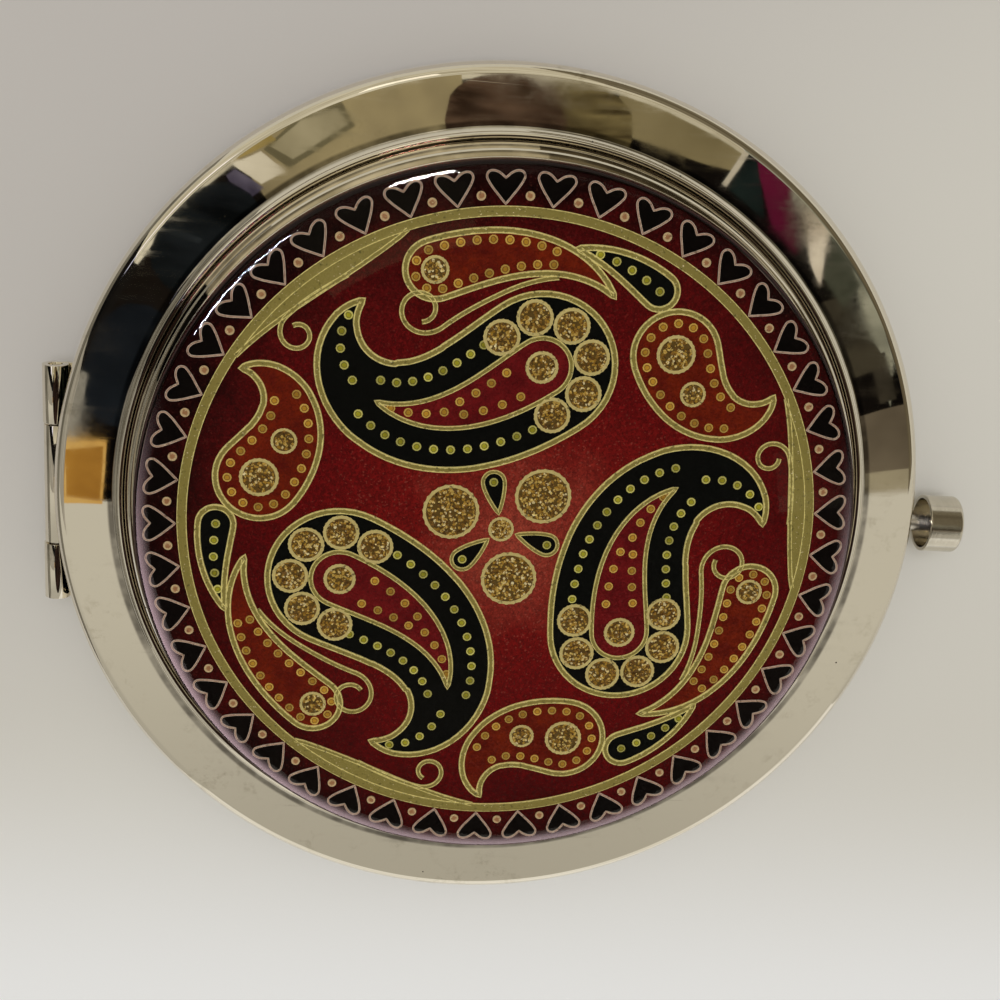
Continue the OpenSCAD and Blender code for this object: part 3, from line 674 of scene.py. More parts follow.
def dot_enamel(name, lit, deep, ring):
    """A drop of enamel in a small cup: a bright ring at the rim, a deep line inside it and a lit middle, painted
    into its colour as highlight and shade.
    The attribute rim runs from 0 at the middle to 1 at the edge, and tone differs from dot to dot."""
    made, tree, place = material(name)
    rim = add(tree, ATTRIBUTE, attribute_name="rim", out="Fac")
    tone = add(tree, RANGE, add(tree, ATTRIBUTE, attribute_name="tone", out="Fac"), 0.0, 1.0, 0.75, 1.25)
    uneven = add(tree, MATH, rim, wander(tree, place, 0.25, 2.0, 0.35), operation="ADD")
    # Painted highlight at the middle and at the rim, painted shade as the deep line between
    across = add(tree, RAMP, uneven, stops=[(0.0, lit), (0.4, lit), (0.62, deep), (0.74, ring), (1.0, ring)])
    colour = add(tree, VECTOR, across, tone, operation="SCALE")
    normal, _ = sparkle_normal(tree, place, 0.12, 0.5)
    add(tree, OUTPUT, add(tree, SURFACE, {"Base Color": colour, "Metallic": 0.3, "Roughness": 0.35,
                                          "Normal": normal}))
    return made


def glitter_flakes(picture):
    """Metallised film flakes in clear resin: each has its own tone from brown to bright gold."""
    made, tree, place = material("gold_glitter")
    tone = add(tree, ATTRIBUTE, attribute_name="tone", out="Fac")
    worn = add(tree, MATH, tone, wander(tree, place, 0.1, 2.0, 0.3), operation="ADD")
    colour = add(tree, RAMP, worn, stops=[
        (0.0, linear("#50330f")), (0.3, linear("#8d6626")), (0.6, picture.glitter), (0.84, linear("#ecd07a")),
        (1.0, linear("#fff4c8"))])
    add(tree, OUTPUT, add(tree, SURFACE, {"Base Color": colour, "Metallic": 0.4, "Roughness": 0.28}))
    return made


RESIN_IOR = 1.5
GLOSS_FULL, GLOSS_SHADED = (0.9, 0.9, 0.9), (0.2, 0.2, 0.2)    # share of light that the resin's gloss keeps; the lower one is painted shade along the back


def clear_resin():
    """Poured clear epoxy dome: almost invisible seen straight on, with a sharp gloss and slight waves. Its
    shoulder has a painted wine-grey sheen along the front, standing in for the room it reflects, and its gloss
    is dimmed as painted shade along the back."""
    made, tree, place = material("clear_resin", clear=True)
    far = from_axis(tree, place)
    shoulder = add(tree, RANGE, far, 26.7 * MM, 27.7 * MM, **SMOOTH)
    ripple = add(tree, MATH, add(tree, NOISE, place, per_metre(1.4), 2.0, 0.5),
                 add(tree, MATH, shoulder, 0.2, operation="MULTIPLY"), operation="MULTIPLY")
    swell = add(tree, MATH, add(tree, NOISE, place, per_metre(6.0), 2.0, 0.4), 0.1, operation="MULTIPLY")
    waves = add(tree, MATH, swell, ripple, operation="ADD")
    bump = add(tree, BUMP, {"Strength": 1.0, "Distance": 0.05 * MM, "Height": waves})
    film = add(tree, RANGE, add(tree, NOISE, place, per_metre(8.0), 5.0, 0.6), 0.45, 0.75, 0.015, 0.05)
    low = add(tree, RANGE, add(tree, SPLIT, place, out="Y"), 10 * MM, -14 * MM, **SMOOTH)
    # Painted shade: the gloss is dimmed over the outer part of the dome along the back
    back_shade = add(tree, MATH, add(tree, RANGE, far, 22.0 * MM, 26.0 * MM, **SMOOTH), low, operation="SUBTRACT")
    colour = add(tree, MIX, back_shade, GLOSS_FULL, GLOSS_SHADED, **COLOUR)
    seen = add(tree, "ShaderNodeFresnel", RESIN_IOR, bump)
    front = add(tree, MATH, 1.0, add(tree, "ShaderNodeNewGeometry", out="Backfacing"), operation="SUBTRACT")
    through_it = add(tree, "ShaderNodeBsdfTransparent", linear("#fbfaf8"))
    gloss = add(tree, "ShaderNodeBsdfGlossy", {"Color": colour, "Roughness": film, "Normal": bump})
    mixed = add(tree, "ShaderNodeMixShader", add(tree, MATH, seen, front, operation="MULTIPLY"), through_it,
                gloss)
    # Painted reflection: a wine-grey diffuse sheen on the shoulder along the front
    painted_sheen_share = add(tree, MATH, add(tree, RANGE, far, 27.0 * MM, 28.3 * MM, 0.0, 0.4, **SMOOTH), low,
                operation="MULTIPLY")
    painted_sheen = add(tree, "ShaderNodeBsdfDiffuse", linear("#7f6c6b"))
    add(tree, OUTPUT, add(tree, "ShaderNodeMixShader", add(tree, MATH, painted_sheen_share, front, operation="MULTIPLY"),
                          mixed, painted_sheen))
    return made


def resin_edge():
    """Side of the dome, where the resin's depth turns dark wine: from inside it throws the plate's edge
    back like a mirror, and from outside it has the same sharp gloss."""
    made, tree, place = material("resin_edge", clear=True)
    ripple = add(tree, NOISE, place, per_metre(1.4), 3.0, 0.5)
    bump = add(tree, BUMP, {"Strength": 0.5, "Distance": 0.05 * MM, "Height": ripple})
    seen = add(tree, "ShaderNodeFresnel", RESIN_IOR, bump)
    inside = add(tree, "ShaderNodeNewGeometry", out="Backfacing")
    colour = add(tree, MIX, inside, linear("#cdb9b6"), linear("#9a8f96"), **COLOUR)
    through_it = add(tree, "ShaderNodeBsdfTransparent", linear("#7d4a50"))
    gloss = add(tree, "ShaderNodeBsdfGlossy", {"Color": colour, "Roughness": 0.03, "Normal": bump})
    add(tree, OUTPUT, add(tree, "ShaderNodeMixShader", seen, through_it, gloss))
    return made


SHOP = {}


def finish_of(name, maker, *values):
    """The material of that name, made the first time that it is asked for."""
    if name not in SHOP:
        SHOP[name] = maker(*values)
    return SHOP[name]


def nickel_of(scene):
    """The case's polished nickel."""
    return finish_of("polished_nickel", polished_nickel, scene.compact_case)


def satin_nickel():
    """Satin nickel on stamped latch parts: short brushed grain of 0.06 mm along the strip."""
    return finish_of("satin_nickel", brushed_metal, "satin_nickel", "#bdb8ad", "#8b867c", (0.6, 16.0, 16.0),
                     0.3)


def turned_steel():
    """Turned and polished pin stock: fine rings of 0.05 mm round the bar, which runs along X."""
    return finish_of("turned_steel", brushed_metal, "turned_steel", "#ded9cd", "#aba59c", (20.0, 0.8, 0.8),
                     0.2)


def turned_nickel():
    """Nickel plate on a turned cap: the turning's fine rings of 0.05 mm soften what it mirrors."""
    return finish_of("turned_nickel", brushed_metal, "turned_nickel", "#ded8ca", "#c9c2b3", (20.0, 0.8, 0.8),
                     0.12)


def pin_steel():
    """Drawn hinge pin: fine rings of 0.05 mm round the bar, which runs along Y."""
    return finish_of("pin_steel", brushed_metal, "pin_steel", "#c4beb3", "#8d8880", (0.8, 20.0, 0.8), 0.2)


def spring_steel():
    """Drawn spring wire: dark blue-grey with drawing lines of 0.04 mm."""
    return finish_of("spring_steel", brushed_metal, "spring_steel", "#9aa0a6", "#5d6369", (1.0, 22.0, 22.0),
                     0.25)


# Geometry Nodes

def node_tree(name, sockets):
    """A Geometry Nodes tree with a geometry and named inputs, and the sockets that they come from."""
    tree = bpy.data.node_groups.new(name, "GeometryNodeTree")
    tree.interface.new_socket(name="Geometry", in_out="INPUT", socket_type="NodeSocketGeometry")
    for title, kind, value in sockets + [("Material", "Material", None)]:
        socket = tree.interface.new_socket(name=title, in_out="INPUT", socket_type="NodeSocket" + kind)
        if value is not None:
            socket.default_value = value
    tree.interface.new_socket(name="Geometry", in_out="OUTPUT", socket_type="NodeSocketGeometry")
    return tree, tree.nodes.new("NodeGroupInput").outputs


def ended(tree, geometry, given):
    """Ends a tree: its instances are made real and take the material."""
    whole = add(tree, "GeometryNodeRealizeInstances", geometry)
    add(tree, "NodeGroupOutput", add(tree, "GeometryNodeSetMaterial", {"Geometry": whole,
                                                                       "Material": given["Material"]}))
    return tree


def copies_round_tree():
    """Repeats a shape evenly round the case's axis."""
    tree, given = node_tree("copies round the badge", [("Count", "Int", 45), ("First angle", "Float", 0.0)])
    points = add(tree, "GeometryNodePoints", given["Count"])
    step = add(tree, MATH, TURN, given["Count"], operation="DIVIDE")
    angle = add(tree, MATH, add(tree, "GeometryNodeInputIndex"), step, given["First angle"],
                operation="MULTIPLY_ADD")
    placed = add(tree, INSTANCES, {"Points": points, "Instance": given["Geometry"],
                                   "Rotation": add(tree, JOIN, {"Z": angle})})
    return ended(tree, placed, given)


def wire_tree():
    """Lays a low wire with a shallow groove along each line."""
    tree, given = node_tree("raised wire", [("Width", "Float", 0.42 * MM), ("Height", "Float", 0.08 * MM),
                                            ("Step", "Float", 0.25 * MM)])
    line = add(tree, "GeometryNodeMeshToCurve", given["Geometry"])
    even = add(tree, "GeometryNodeResampleCurve", {"Curve": line, "Length": given["Step"]}, mode="LENGTH")
    level = add(tree, "GeometryNodeSetCurveNormal", even, mode="Z_UP")
    ring = add(tree, "GeometryNodeCurvePrimitiveCircle", {"Resolution": 12, "Radius": 0.5})
    spot = add(tree, "GeometryNodeInputPosition")
    across = add(tree, MATH, add(tree, SPLIT, spot), operation="ABSOLUTE")
    rim = add(tree, MATH, across, 2.0, operation="MULTIPLY")
    marked = add(tree, STORE, {"Geometry": ring, "Name": "rim", "Value": rim}, data_type="FLOAT",
                 domain="POINT")
    wide = add(tree, MATH, rim, 2.0, operation="POWER")
    lips = add(tree, MATH, wide, 1.62, 0.74, operation="MULTIPLY_ADD")
    bent = add(tree, VECTOR, spot, add(tree, JOIN, 1.0, lips, 1.0), operation="MULTIPLY")
    lipped = add(tree, "GeometryNodeSetPosition", {"Geometry": marked, "Position": bent})
    thick = add(tree, MATH, given["Height"], 2.0, operation="MULTIPLY")
    shape = add(tree, "GeometryNodeTransform", {"Geometry": lipped,
                                                "Scale": add(tree, JOIN, given["Width"], thick, 1.0)})
    tube = add(tree, "GeometryNodeCurveToMesh", {"Curve": level, "Profile Curve": shape, "Fill Caps": True})
    return ended(tree, tube, given)


def dots_tree():
    """Sets low round drops of enamel along each line, one every Spacing."""
    tree, given = node_tree("enamel dots", [("Spacing", "Float", 1.2 * MM), ("Size", "Float", 0.7 * MM),
                                            ("Height", "Float", 0.06 * MM), ("Seed", "Int", 3)])
    line = add(tree, "GeometryNodeMeshToCurve", given["Geometry"])
    even = add(tree, "GeometryNodeCurveToPoints", {"Curve": line, "Length": given["Spacing"]}, mode="LENGTH")
    drop = add(tree, "GeometryNodeMeshCylinder", {"Vertices": 10, "Side Segments": 1, "Fill Segments": 2,
                                                  "Radius": 0.5, "Depth": 2.0}, fill_type="TRIANGLE_FAN")
    spot = add(tree, "GeometryNodeInputPosition")
    flat = add(tree, VECTOR, spot, (2, 2, 0), operation="MULTIPLY")
    rim = add(tree, VECTOR, flat, operation="LENGTH")
    marked = add(tree, STORE, {"Geometry": drop, "Name": "rim", "Value": rim}, data_type="FLOAT",
                 domain="POINT")
    low = add(tree, MATH, rim, 3.0, operation="POWER")
    crown = add(tree, MATH, low, -0.45, 1.0, operation="MULTIPLY_ADD")
    bent = add(tree, VECTOR, spot, add(tree, JOIN, 1.0, 1.0, crown), operation="MULTIPLY")
    shaped = add(tree, "GeometryNodeSetPosition", {"Geometry": marked, "Position": bent})
    size = add(tree, JOIN, given["Size"], given["Size"], given["Height"])
    placed = add(tree, INSTANCES, {"Points": even, "Instance": shaped, "Scale": size})
    chance = add(tree, "FunctionNodeRandomValue", {"Seed": given["Seed"]}, data_type="FLOAT")
    toned = add(tree, STORE, {"Geometry": placed, "Name": "tone", "Value": chance}, data_type="FLOAT",
                domain="INSTANCE")
    return ended(tree, toned, given)


def glitter_tree():
    """Strews small tilted flakes over each face that looks up."""
    tree, given = node_tree("glitter", [("Flake", "Float", 0.2 * MM), ("Density", "Float", 3.4e7),
                                        ("Tilt", "Float", 0.42), ("Seed", "Int", 7)])
    tilt, seed = given["Tilt"], given["Seed"]
    spread = add(tree, "GeometryNodeDistributePointsOnFaces", {"Mesh": given["Geometry"],
                                                               "Density": given["Density"], "Seed": seed})
    flake = add(tree, "GeometryNodeMeshCylinder", {"Vertices": 5, "Radius": 0.5, "Depth": 0.12})
    least = add(tree, MATH, tilt, -1.0, operation="MULTIPLY")
    lean = add(tree, "FunctionNodeRandomValue", {0: add(tree, JOIN, least, least, 0.0),
                                                 1: add(tree, JOIN, tilt, tilt, TURN), "Seed": seed},
               data_type="FLOAT_VECTOR")
    grow = add(tree, "FunctionNodeRandomValue", {2: 0.65, 3: 1.2, "Seed": 11}, data_type="FLOAT")
    size = add(tree, MATH, grow, given["Flake"], operation="MULTIPLY")
    placed = add(tree, INSTANCES, {"Points": spread, "Instance": flake, "Rotation": lean, "Scale": size})
    chance = add(tree, "FunctionNodeRandomValue", {"Seed": 23}, data_type="FLOAT")
    toned = add(tree, STORE, {"Geometry": placed, "Name": "tone", "Value": chance}, data_type="FLOAT",
                domain="INSTANCE")
    return ended(tree, toned, given)


def coil_tree():
    """Winds a round wire into an open coil along X."""
    tree, given = node_tree("return spring", [("Turns", "Float", 3.0), ("Coil radius", "Float", 0.6 * MM),
                                              ("Length", "Float", 1.4 * MM),
                                              ("Wire radius", "Float", 0.1 * MM)])
    wide = given["Coil radius"]
    coil = add(tree, "GeometryNodeCurveSpiral", {"Resolution": 24, "Rotations": given["Turns"],
                                                 "Start Radius": wide, "End Radius": wide,
                                                 "Height": given["Length"]})
    lying = add(tree, "GeometryNodeTransform", {"Geometry": coil, "Rotation": (0, math.pi / 2, 0)})
    ring = add(tree, "GeometryNodeCurvePrimitiveCircle", {"Resolution": 10, "Radius": given["Wire radius"]})
    tube = add(tree, "GeometryNodeCurveToMesh", {"Curve": lying, "Profile Curve": ring, "Fill Caps": True})
    return ended(tree, tube, given)


TREES = {}


def through(piece, maker, **inputs):
    """Runs a piece through a Geometry Nodes tree and keeps the result as its plain mesh."""
    if maker not in TREES:
        TREES[maker] = maker()
    tree = TREES[maker]
    change = piece.modifiers.new("nodes", "NODES")
    change.node_group = tree
    sockets = {s.name: s.identifier for s in tree.interface.items_tree if s.in_out == "INPUT"}
    for title, value in inputs.items():
        change[sockets[title.replace("_", " ").capitalize()]] = value
    return settled(piece)


def lines_object(name, lines, height, closed=True):
    """An object of open or closed lines of (x, y) at one height."""
    corners, edges = [], []
    for line in lines:
        first = len(corners)
        corners += [(x, y, height) for x, y in line]
        edges += [(first + k, first + k + 1) for k in range(len(line) - 1)]
        if closed:
            edges.append((first + len(line) - 1, first))
    return mesh_object(name, corners, [], edges)


# Case

def hinge_notch():
    """Room in both shells for the hinge barrel."""
    return block((-CASE_X - NOTCH_OUT, -NOTCH_HALF, NOTCH_LOW),
                 (-CASE_X - 0.1 + NOTCH_IN, NOTCH_HALF, NOTCH_HIGH))


def base_outline(case):
    """Outline of the pressed base: flat back, beaded edge, polished band and upright rim."""
    radius, sheet, edge = mm(case, "radius"), mm(case, "sheet"), mm(case, "edge_radius")
    bead, fall = mm(case, "bead_radius"), mm(case, "band_fall")
    band = radius - mm(case, "band_width")
    step = fall * 1.5
    bead_mid = band - BEAD_INSET
    bend = radius - edge
    top = BASE_HIGH.z
    outer = [(0, 0), (BACK_RADIUS, 0), (bead_mid - bead - BEAD_GROOVE, step)]
    outer += arc((bead_mid, step + bead / 2), bead, 200, 340, 14)
    outer += [(band, step)] + arc((bend, step + fall + edge), edge, -90, 0, 16) + [(radius, top)]
    inner = [(radius - sheet, top)] + arc((bend, step + fall + edge), edge - sheet, 0, -90, 12)
    inner += [(bead_mid - bead - BEAD_GROOVE, step + fall + sheet), (BACK_INNER, sheet), (0, sheet)]
    return broken(outer + inner)


def lid_outline(case):
    """Outline of the pressed lid: panel under the badge, rolled bead, polished band and upright rim."""
    radius, sheet, edge = mm(case, "radius"), mm(case, "sheet"), mm(case, "edge_radius")
    bead, fall = mm(case, "bead_radius"), mm(case, "band_fall")
    band = radius - mm(case, "band_width")
    bead_mid = band - BEAD_INSET
    cove = BEAD_INSET - bead - 0.1
    bend = radius - edge
    low, top = LID_LOW.z, LID_HIGH.z - bead * 1.75
    panel = top - 2 * fall
    well = bead_mid - bead - BEAD_GROOVE
    outer = [(0, panel), (well, panel)] + arc((bead_mid, top + bead * 0.75), bead, 180, 0, 16)
    outer += arc((band, top + cove), cove, 215, 270, 8)
    outer += arc((bend, top - fall - edge), edge, 90, 0, 16) + [(radius, low)]
    inner = [(radius - sheet, low)] + arc((bend, top - fall - edge), edge - sheet, 0, 90, 12)
    inner += [(band, top - fall - sheet), (well, panel - sheet), (0, panel - sheet)]
    return broken(outer + inner)


def lying(x, y, height):
    """Lays a turned shape along the button's axis."""
    return height, y, STEM_Z + x


class COMPACT_OT_shells(bpy.types.Operator):
    """Presses the base and the lid, with their notch for the hinge and the hole for the button's stem"""
    bl_idname = "compact.shells"
    bl_label = "Case shells"

    def execute(self, context):
        case = context.scene.compact_case
        nickel = nickel_of(context.scene)
        base = cut(turned("pressed_base", base_outline(case)), hinge_notch())
        inner, outer = CASE_X - 2, CASE_X + 1
        hole = turned("hole", [(0, inner), (STEM_HOLE, inner), (STEM_HOLE, outer), (0, outer)],
                      SMALL_ROUND_STEPS, lying)
        finished(cut(base, hole), "base", "polished_nickel", [nickel], "base_shell")
        lid = cut(turned("pressed_lid", lid_outline(case)), hinge_notch())
        finished(lid, "lid", "polished_nickel", [nickel], "lid_shell")
        return {"FINISHED"}


class COMPACT_OT_bezel(bpy.types.Operator):
    """Spins the stepped carrier that lifts the badge above the lid"""
    bl_idname = "compact.bezel"
    bl_label = "Badge carrier"

    def execute(self, context):
        case = context.scene.compact_case
        foot = mm(case, "radius") - mm(case, "band_width") - BEAD_INSET - mm(case, "bead_radius") - 0.1
        low, tall, sheet = BEZEL_LOW.z, mm(case, "bezel_height"), 0.4
        radii = [foot, foot - 0.5, foot - 0.62, foot - 0.99]
        heights = [low + tall * rise for rise in (0.27, 0.61, 0.64, 0.94)]
        top, lip = low + tall, 0.25
        outline = [(foot, low)] + list(zip(radii, heights))
        outline += [(radii[3], top), (radii[3] - lip, top), (radii[3] - lip, top - lip), (0, top - lip),
                    (0, top - lip - sheet), (radii[3] - sheet, top - lip - sheet)]
        outline += [(radii[k] - sheet, heights[k] - sheet) for k in (2, 1)]
        outline += [(foot - sheet, heights[0]), (foot - sheet, low)]
        carrier = turned("badge_carrier", broken(outline, 0.06, 4))
        finished(carrier, "lid", "polished_nickel", [nickel_of(context.scene)], "lid_bezel")
        return {"FINISHED"}


# Enamelled plate

GROUND = PLATE_HIGH.z - 0.1      # top of the ground enamel
FIELD = GROUND + 0.02            # top of the coloured fields
WIRE_RISE = PLATE_HIGH.z - FIELD
SUNK = 0.05                      # how deep the badge's forms stand in the ground
HEART = [(0, 0), (0.34, 0.24), (0.7, 0.5), (0.94, 0.72), (1, 0.84), (0.9, 0.96), (0.66, 1), (0.34, 0.94),
         (0, 0.78)]              # half a heart, as shares of its width and length


def heart_outline(badge, shrink):
    """A heart with its point at the hoop and its lobes outwards, shrunk evenly by that many millimetres."""
    long, wide = mm(badge, "heart_length"), mm(badge, "heart_width") / 2
    start = mm(badge, "hoop_radius") + 0.05
    keep = 1 - shrink / wide
    middle = long * 0.53
    half = [(x * wide * keep, middle + (y * long - middle) * keep) for x, y in HEART]
    half = flowing(half, 5)
    whole = half + [(-x, y) for x, y in half[-2:0:-1]]
    return [(x, start + y) for x, y in whole]


def gilt_of(picture):
    """The picture's gilt wire."""
    return finish_of("gilt_wire", ribbon_metal, "gilt_wire", picture.gilt, picture.gilt_edge,
                     linear("#4d4a22"))


class COMPACT_OT_border(bpy.types.Operator):
    """Lays the crimson ground, the hoop, and the border of wired hearts and studs"""
    bl_idname = "compact.border"
    bl_label = "Enamel ground and border"

    def execute(self, context):
        badge, picture = context.scene.compact_badge, context.scene.compact_picture
        count, turn = badge.heart_count, badge.heart_turn
        rim, low = PLATE_HIGH.x, PLATE_LOW.z
        ground = turned("enamel_ground", broken([(0, low), (rim, low), (rim, GROUND), (0, GROUND)], 0.1, 4))
        finished(ground, "lid", "crimson_enamel", [finish_of("crimson_enamel", crimson_enamel, badge)],
                 "enamel_plate")

        outer, wide = mm(badge, "hoop_radius"), mm(badge, "hoop_width")
        top, lip = PLATE_HIGH.z, 0.1
        hoop = turned("gilt_hoop", held([
            (outer - wide, GROUND - 0.1), (outer - wide, top - 0.02), (outer - wide + 0.03, top),
            (outer - wide + lip, top), (outer - wide + lip * 1.6, top - 0.03), (outer - lip * 1.6, top - 0.03),
            (outer - lip, top), (outer - 0.03, top), (outer, top - 0.02), (outer, GROUND - 0.1)]))
        # The hoop's rim is 1 along its edges, where its finish paints a highlight
        across = hoop.data.attributes.new("rim", "FLOAT", "POINT")
        middle = outer - wide / 2
        across.data.foreach_set("value", [
            min(1, abs(math.hypot(v.co.x, v.co.y) / MM - middle) / (wide / 2)) ** 4 for v in hoop.data.vertices])
        finished(hoop, "lid", "crimson_enamel", [gilt_of(picture)])

        wire = mm(badge, "heart_wire")
        # The light edge colour of the rose wire is a painted highlight
        bright = finish_of("rose_wire", ribbon_metal, "rose_gold_wire", linear("#b4907c"), linear("#f3dfcf"),
                           linear("#6b5748"))
        black = finish_of("heart_enamel", field_enamel, "black_heart_enamel", linear("#040202"),
                          linear("#0a0505"), 0.15)
        lines = lines_object("heart_wires", [heart_outline(badge, wire / 2)], FIELD)
        through(lines, copies_round_tree, count=count, first_angle=turn, material=bright)
        through(lines, wire_tree, width=wire * MM, height=WIRE_RISE * MM, step=0.16 * MM, material=bright)
        finished(tidy(lines, flip=False), "lid", "crimson_enamel", None)
        fill = plate("heart_fields", heart_outline(badge, wire * 0.7), GROUND - SUNK, FIELD)
        through(fill, copies_round_tree, count=count, first_angle=turn, material=black)
        finished(fill, "lid", "crimson_enamel", None)

        size = mm(badge, "stud_size") / 2
        far = outer + mm(badge, "heart_length") * 0.3
        cup = [(0, GROUND - SUNK), (size, GROUND - SUNK), (size, top - 0.02), (size * 0.9, top),
               (size * 0.72, top), (size * 0.6, top - 0.04), (0, top - 0.03)]
        stud = turned("border_studs", cup, 14, lambda x, y, z: (x, y + far, z))
        # The light rim colour of the studs is a painted highlight
        rose = finish_of("rose_stud", ribbon_metal, "rose_gold_stud", linear("#b07f58"), linear("#dcc196"),
                         linear("#6d3a34"), 0.3)
        across = stud.data.attributes.new("rim", "FLOAT", "POINT")
        across.data.foreach_set("value", [min(1, math.hypot(v.co.x, v.co.y - far * MM) / (size * MM))
                                          for v in stud.data.vertices])
        through(stud, copies_round_tree, count=count, first_angle=turn + math.pi / count, material=rose)
        finished(stud, "lid", "crimson_enamel", None)
        return {"FINISHED"}


# Picture: drops whose spines curl, in one sector that is repeated three times

def spine(start, heading, run, turn0, turn1, steps=48):
    """Points of a line whose curvature goes evenly from turn0 to turn1, in radians a millimetre."""
    x, y = start
    points = [(x, y)]
    step = run / steps
    for i in range(steps):
        heading += step * (turn0 + (turn1 - turn0) * (i + 0.5) / steps)
        x += step * math.cos(heading)
        y += step * math.sin(heading)
        points.append((x, y))
    return points


class Drop:
    """A drop with a round head at start and a tail that tapers along its spine"""

    def __init__(self, start, heading, run, turn0, turn1, width, power):
        self.line = spine(start, math.radians(heading), run, turn0, turn1)
        self.width, self.power = width, power
        ends = [self.line[0]] + self.line + [self.line[-1]]
        self.sides = []
        for before, after in zip(ends, ends[2:]):
            span = math.hypot(after[0] - before[0], after[1] - before[1])
            self.sides.append((-(after[1] - before[1]) / span, (after[0] - before[0]) / span))

    def offset(self, t, away):
        """Point at share t along the spine, away millimetres to its left."""
        last = len(self.line) - 1
        k = min(int(t * last), last - 1)
        f = t * last - k
        a, b, side = self.line[k], self.line[k + 1], self.sides[k]
        return (a[0] + (b[0] - a[0]) * f + side[0] * away, a[1] + (b[1] - a[1]) * f + side[1] * away)

    def half(self, t):
        """Half the drop's width at share t along its spine."""
        return self.width * (1 - t ** self.power)

    def flank(self, sign, inset, first, last, steps=40):
        """Line along one flank; sign 0 follows the spine."""
        stations = [first + (last - first) * k / steps for k in range(steps + 1)]
        return [self.offset(t, max(self.half(t) - inset, 0) * sign) for t in stations]

    def head(self, inset, first, last, steps=24):
        """Line round the head, from angle first to last; 0 is its left side and pi its right."""
        start = math.atan2(self.sides[0][1], self.sides[0][0])
        radius, (x, y) = self.width - inset, self.line[0]
        angles = [start + first + (last - first) * k / steps for k in range(steps + 1)]
        return [(x + radius * math.cos(a), y + radius * math.sin(a)) for a in angles]

    def outline(self, inset=0.0):
        """The whole drop as a closed line."""
        tip = (1 - inset / self.width) ** (1 / self.power)
        left = self.flank(1, inset, tip * 0.985, 0, 44)
        right = self.flank(-1, inset, 0, tip * 0.985, 44)
        return [self.offset(min(tip, 1), 0)] + left + self.head(inset, 0, math.pi)[1:-1] + right


def petal(degrees, far, run, width):
    """A petal of the flower in the middle, with its round end outwards."""
    a = math.radians(degrees)
    return Drop((far * math.cos(a), far * math.sin(a)), degrees + 180, run, 0, 0, width, 1.6)


def tendril(start, heading, *pieces):
    """A line of pieces, each given by its length and its first and last curvature."""
    line, heading = [start], math.radians(heading)
    for run, turn0, turn1 in pieces:
        line += spine(line[-1], heading, run, turn0, turn1, max(8, round(run * 5)))[1:]
        heading += run * (turn0 + turn1) / 2
    return line


def crescent(first, last, outer, depth, lean, steps=24):
    """The outer and the inner line of a thin crescent along the inside of the hoop."""
    stations = [k / steps for k in range(steps + 1)]
    angles = [math.radians(first + (last - first) * s) for s in stations]
    radii = [outer - depth * math.sin(math.pi * s ** lean) for s in stations]
    return ([(outer * math.cos(a), outer * math.sin(a)) for a in angles],
            [(r * math.cos(a), r * math.sin(a)) for r, a in zip(radii, angles)])


BIG_DROP = Drop((10.3, -8.3), 97, 22.8, 0.0, -0.27, 5.6, 1.75)
SMALL_DROP = Drop((12.2, 14.7), -70, 11.2, 0.05, 0.38, 3.3, 1.6)
LEAF_DROP = Drop((20.5, -4.3), 262, 14.6, -0.02, -0.15, 2.2, 1.6)
TWIG_DROP = Drop((11.6, -18.7), 23, 7.2, 0.05, 0.1, 1.35, 1.6)
PETALS = [petal(103, 3.9, 2.6, 0.85)]
TENDRILS = [tendril((15.9, -12.3), 66, (4.4, 0.12, 0.06), (5.2, 0.02, 0.06), (9.6, -0.42, -1.0)),
            tendril((22.95, 1.6), 91, (5.6, 0.02, 0.08), (6.4, 0.55, 1.3))]
CRESCENT = crescent(-9, 29, 24.3, 1.25, 0.8)
FREE_DISC = (3.07, 2.86)
INNER = 3.35        # mm, from the big drop's edge to the small drop in it
SECTORS = 3


def spaced(line, gap):
    """Points evenly along a line, about gap apart."""
    run = [0.0]
    for a, b in zip(line, line[1:]):
        run.append(run[-1] + math.hypot(b[0] - a[0], b[1] - a[1]))
    count = max(2, round(run[-1] / gap) + 1)
    made, k = [], 0
    for i in range(count):
        s = run[-1] * i / (count - 1)
        while k < len(run) - 2 and run[k + 1] < s:
            k += 1
        t = (s - run[k]) / (run[k + 1] - run[k])
        a, b = line[k], line[k + 1]
        made.append((a[0] + (b[0] - a[0]) * t, a[1] + (b[1] - a[1]) * t))
    return made


def fields(name, outlines, low, high, finish):
    """Flat fields of enamel, repeated in each sector."""
    made = joined(name, [plate("field", outline, low, high) for outline in outlines])
    through(made, copies_round_tree, count=SECTORS, material=finish)
    return finished(tidy(made, flip=False), "lid", "crimson_enamel", None)


def wires(name, lines, width, finish, closed=True):
    """Raised wires along lines, repeated in each sector."""
    made = lines_object(name, lines, FIELD, closed)
    through(made, copies_round_tree, count=SECTORS, material=finish)
    through(made, wire_tree, width=width * MM, height=WIRE_RISE * MM, material=finish)
    return finished(tidy(made, flip=False), "lid", "crimson_enamel", None)


def dots(name, lines, picture, finish, sectors=SECTORS):
    """Rows of enamel dots along open lines, repeated in each sector."""
    made = lines_object(name, lines, FIELD, closed=False)
    through(made, copies_round_tree, count=sectors, material=finish)
    through(made, dots_tree, spacing=picture.dot_spacing, size=picture.dot, height=DOT_RISE * MM,
            material=finish)
    return finished(tidy(made, flip=False), "lid", "crimson_enamel", None)


def toothed(x, y, radius):
    """How much further out a glitter cup's edge lies at each of its 24 teeth."""
    return 1 + 0.018 * math.cos(24 * math.atan2(y, x)) * (math.hypot(x, y) > radius * 0.97)


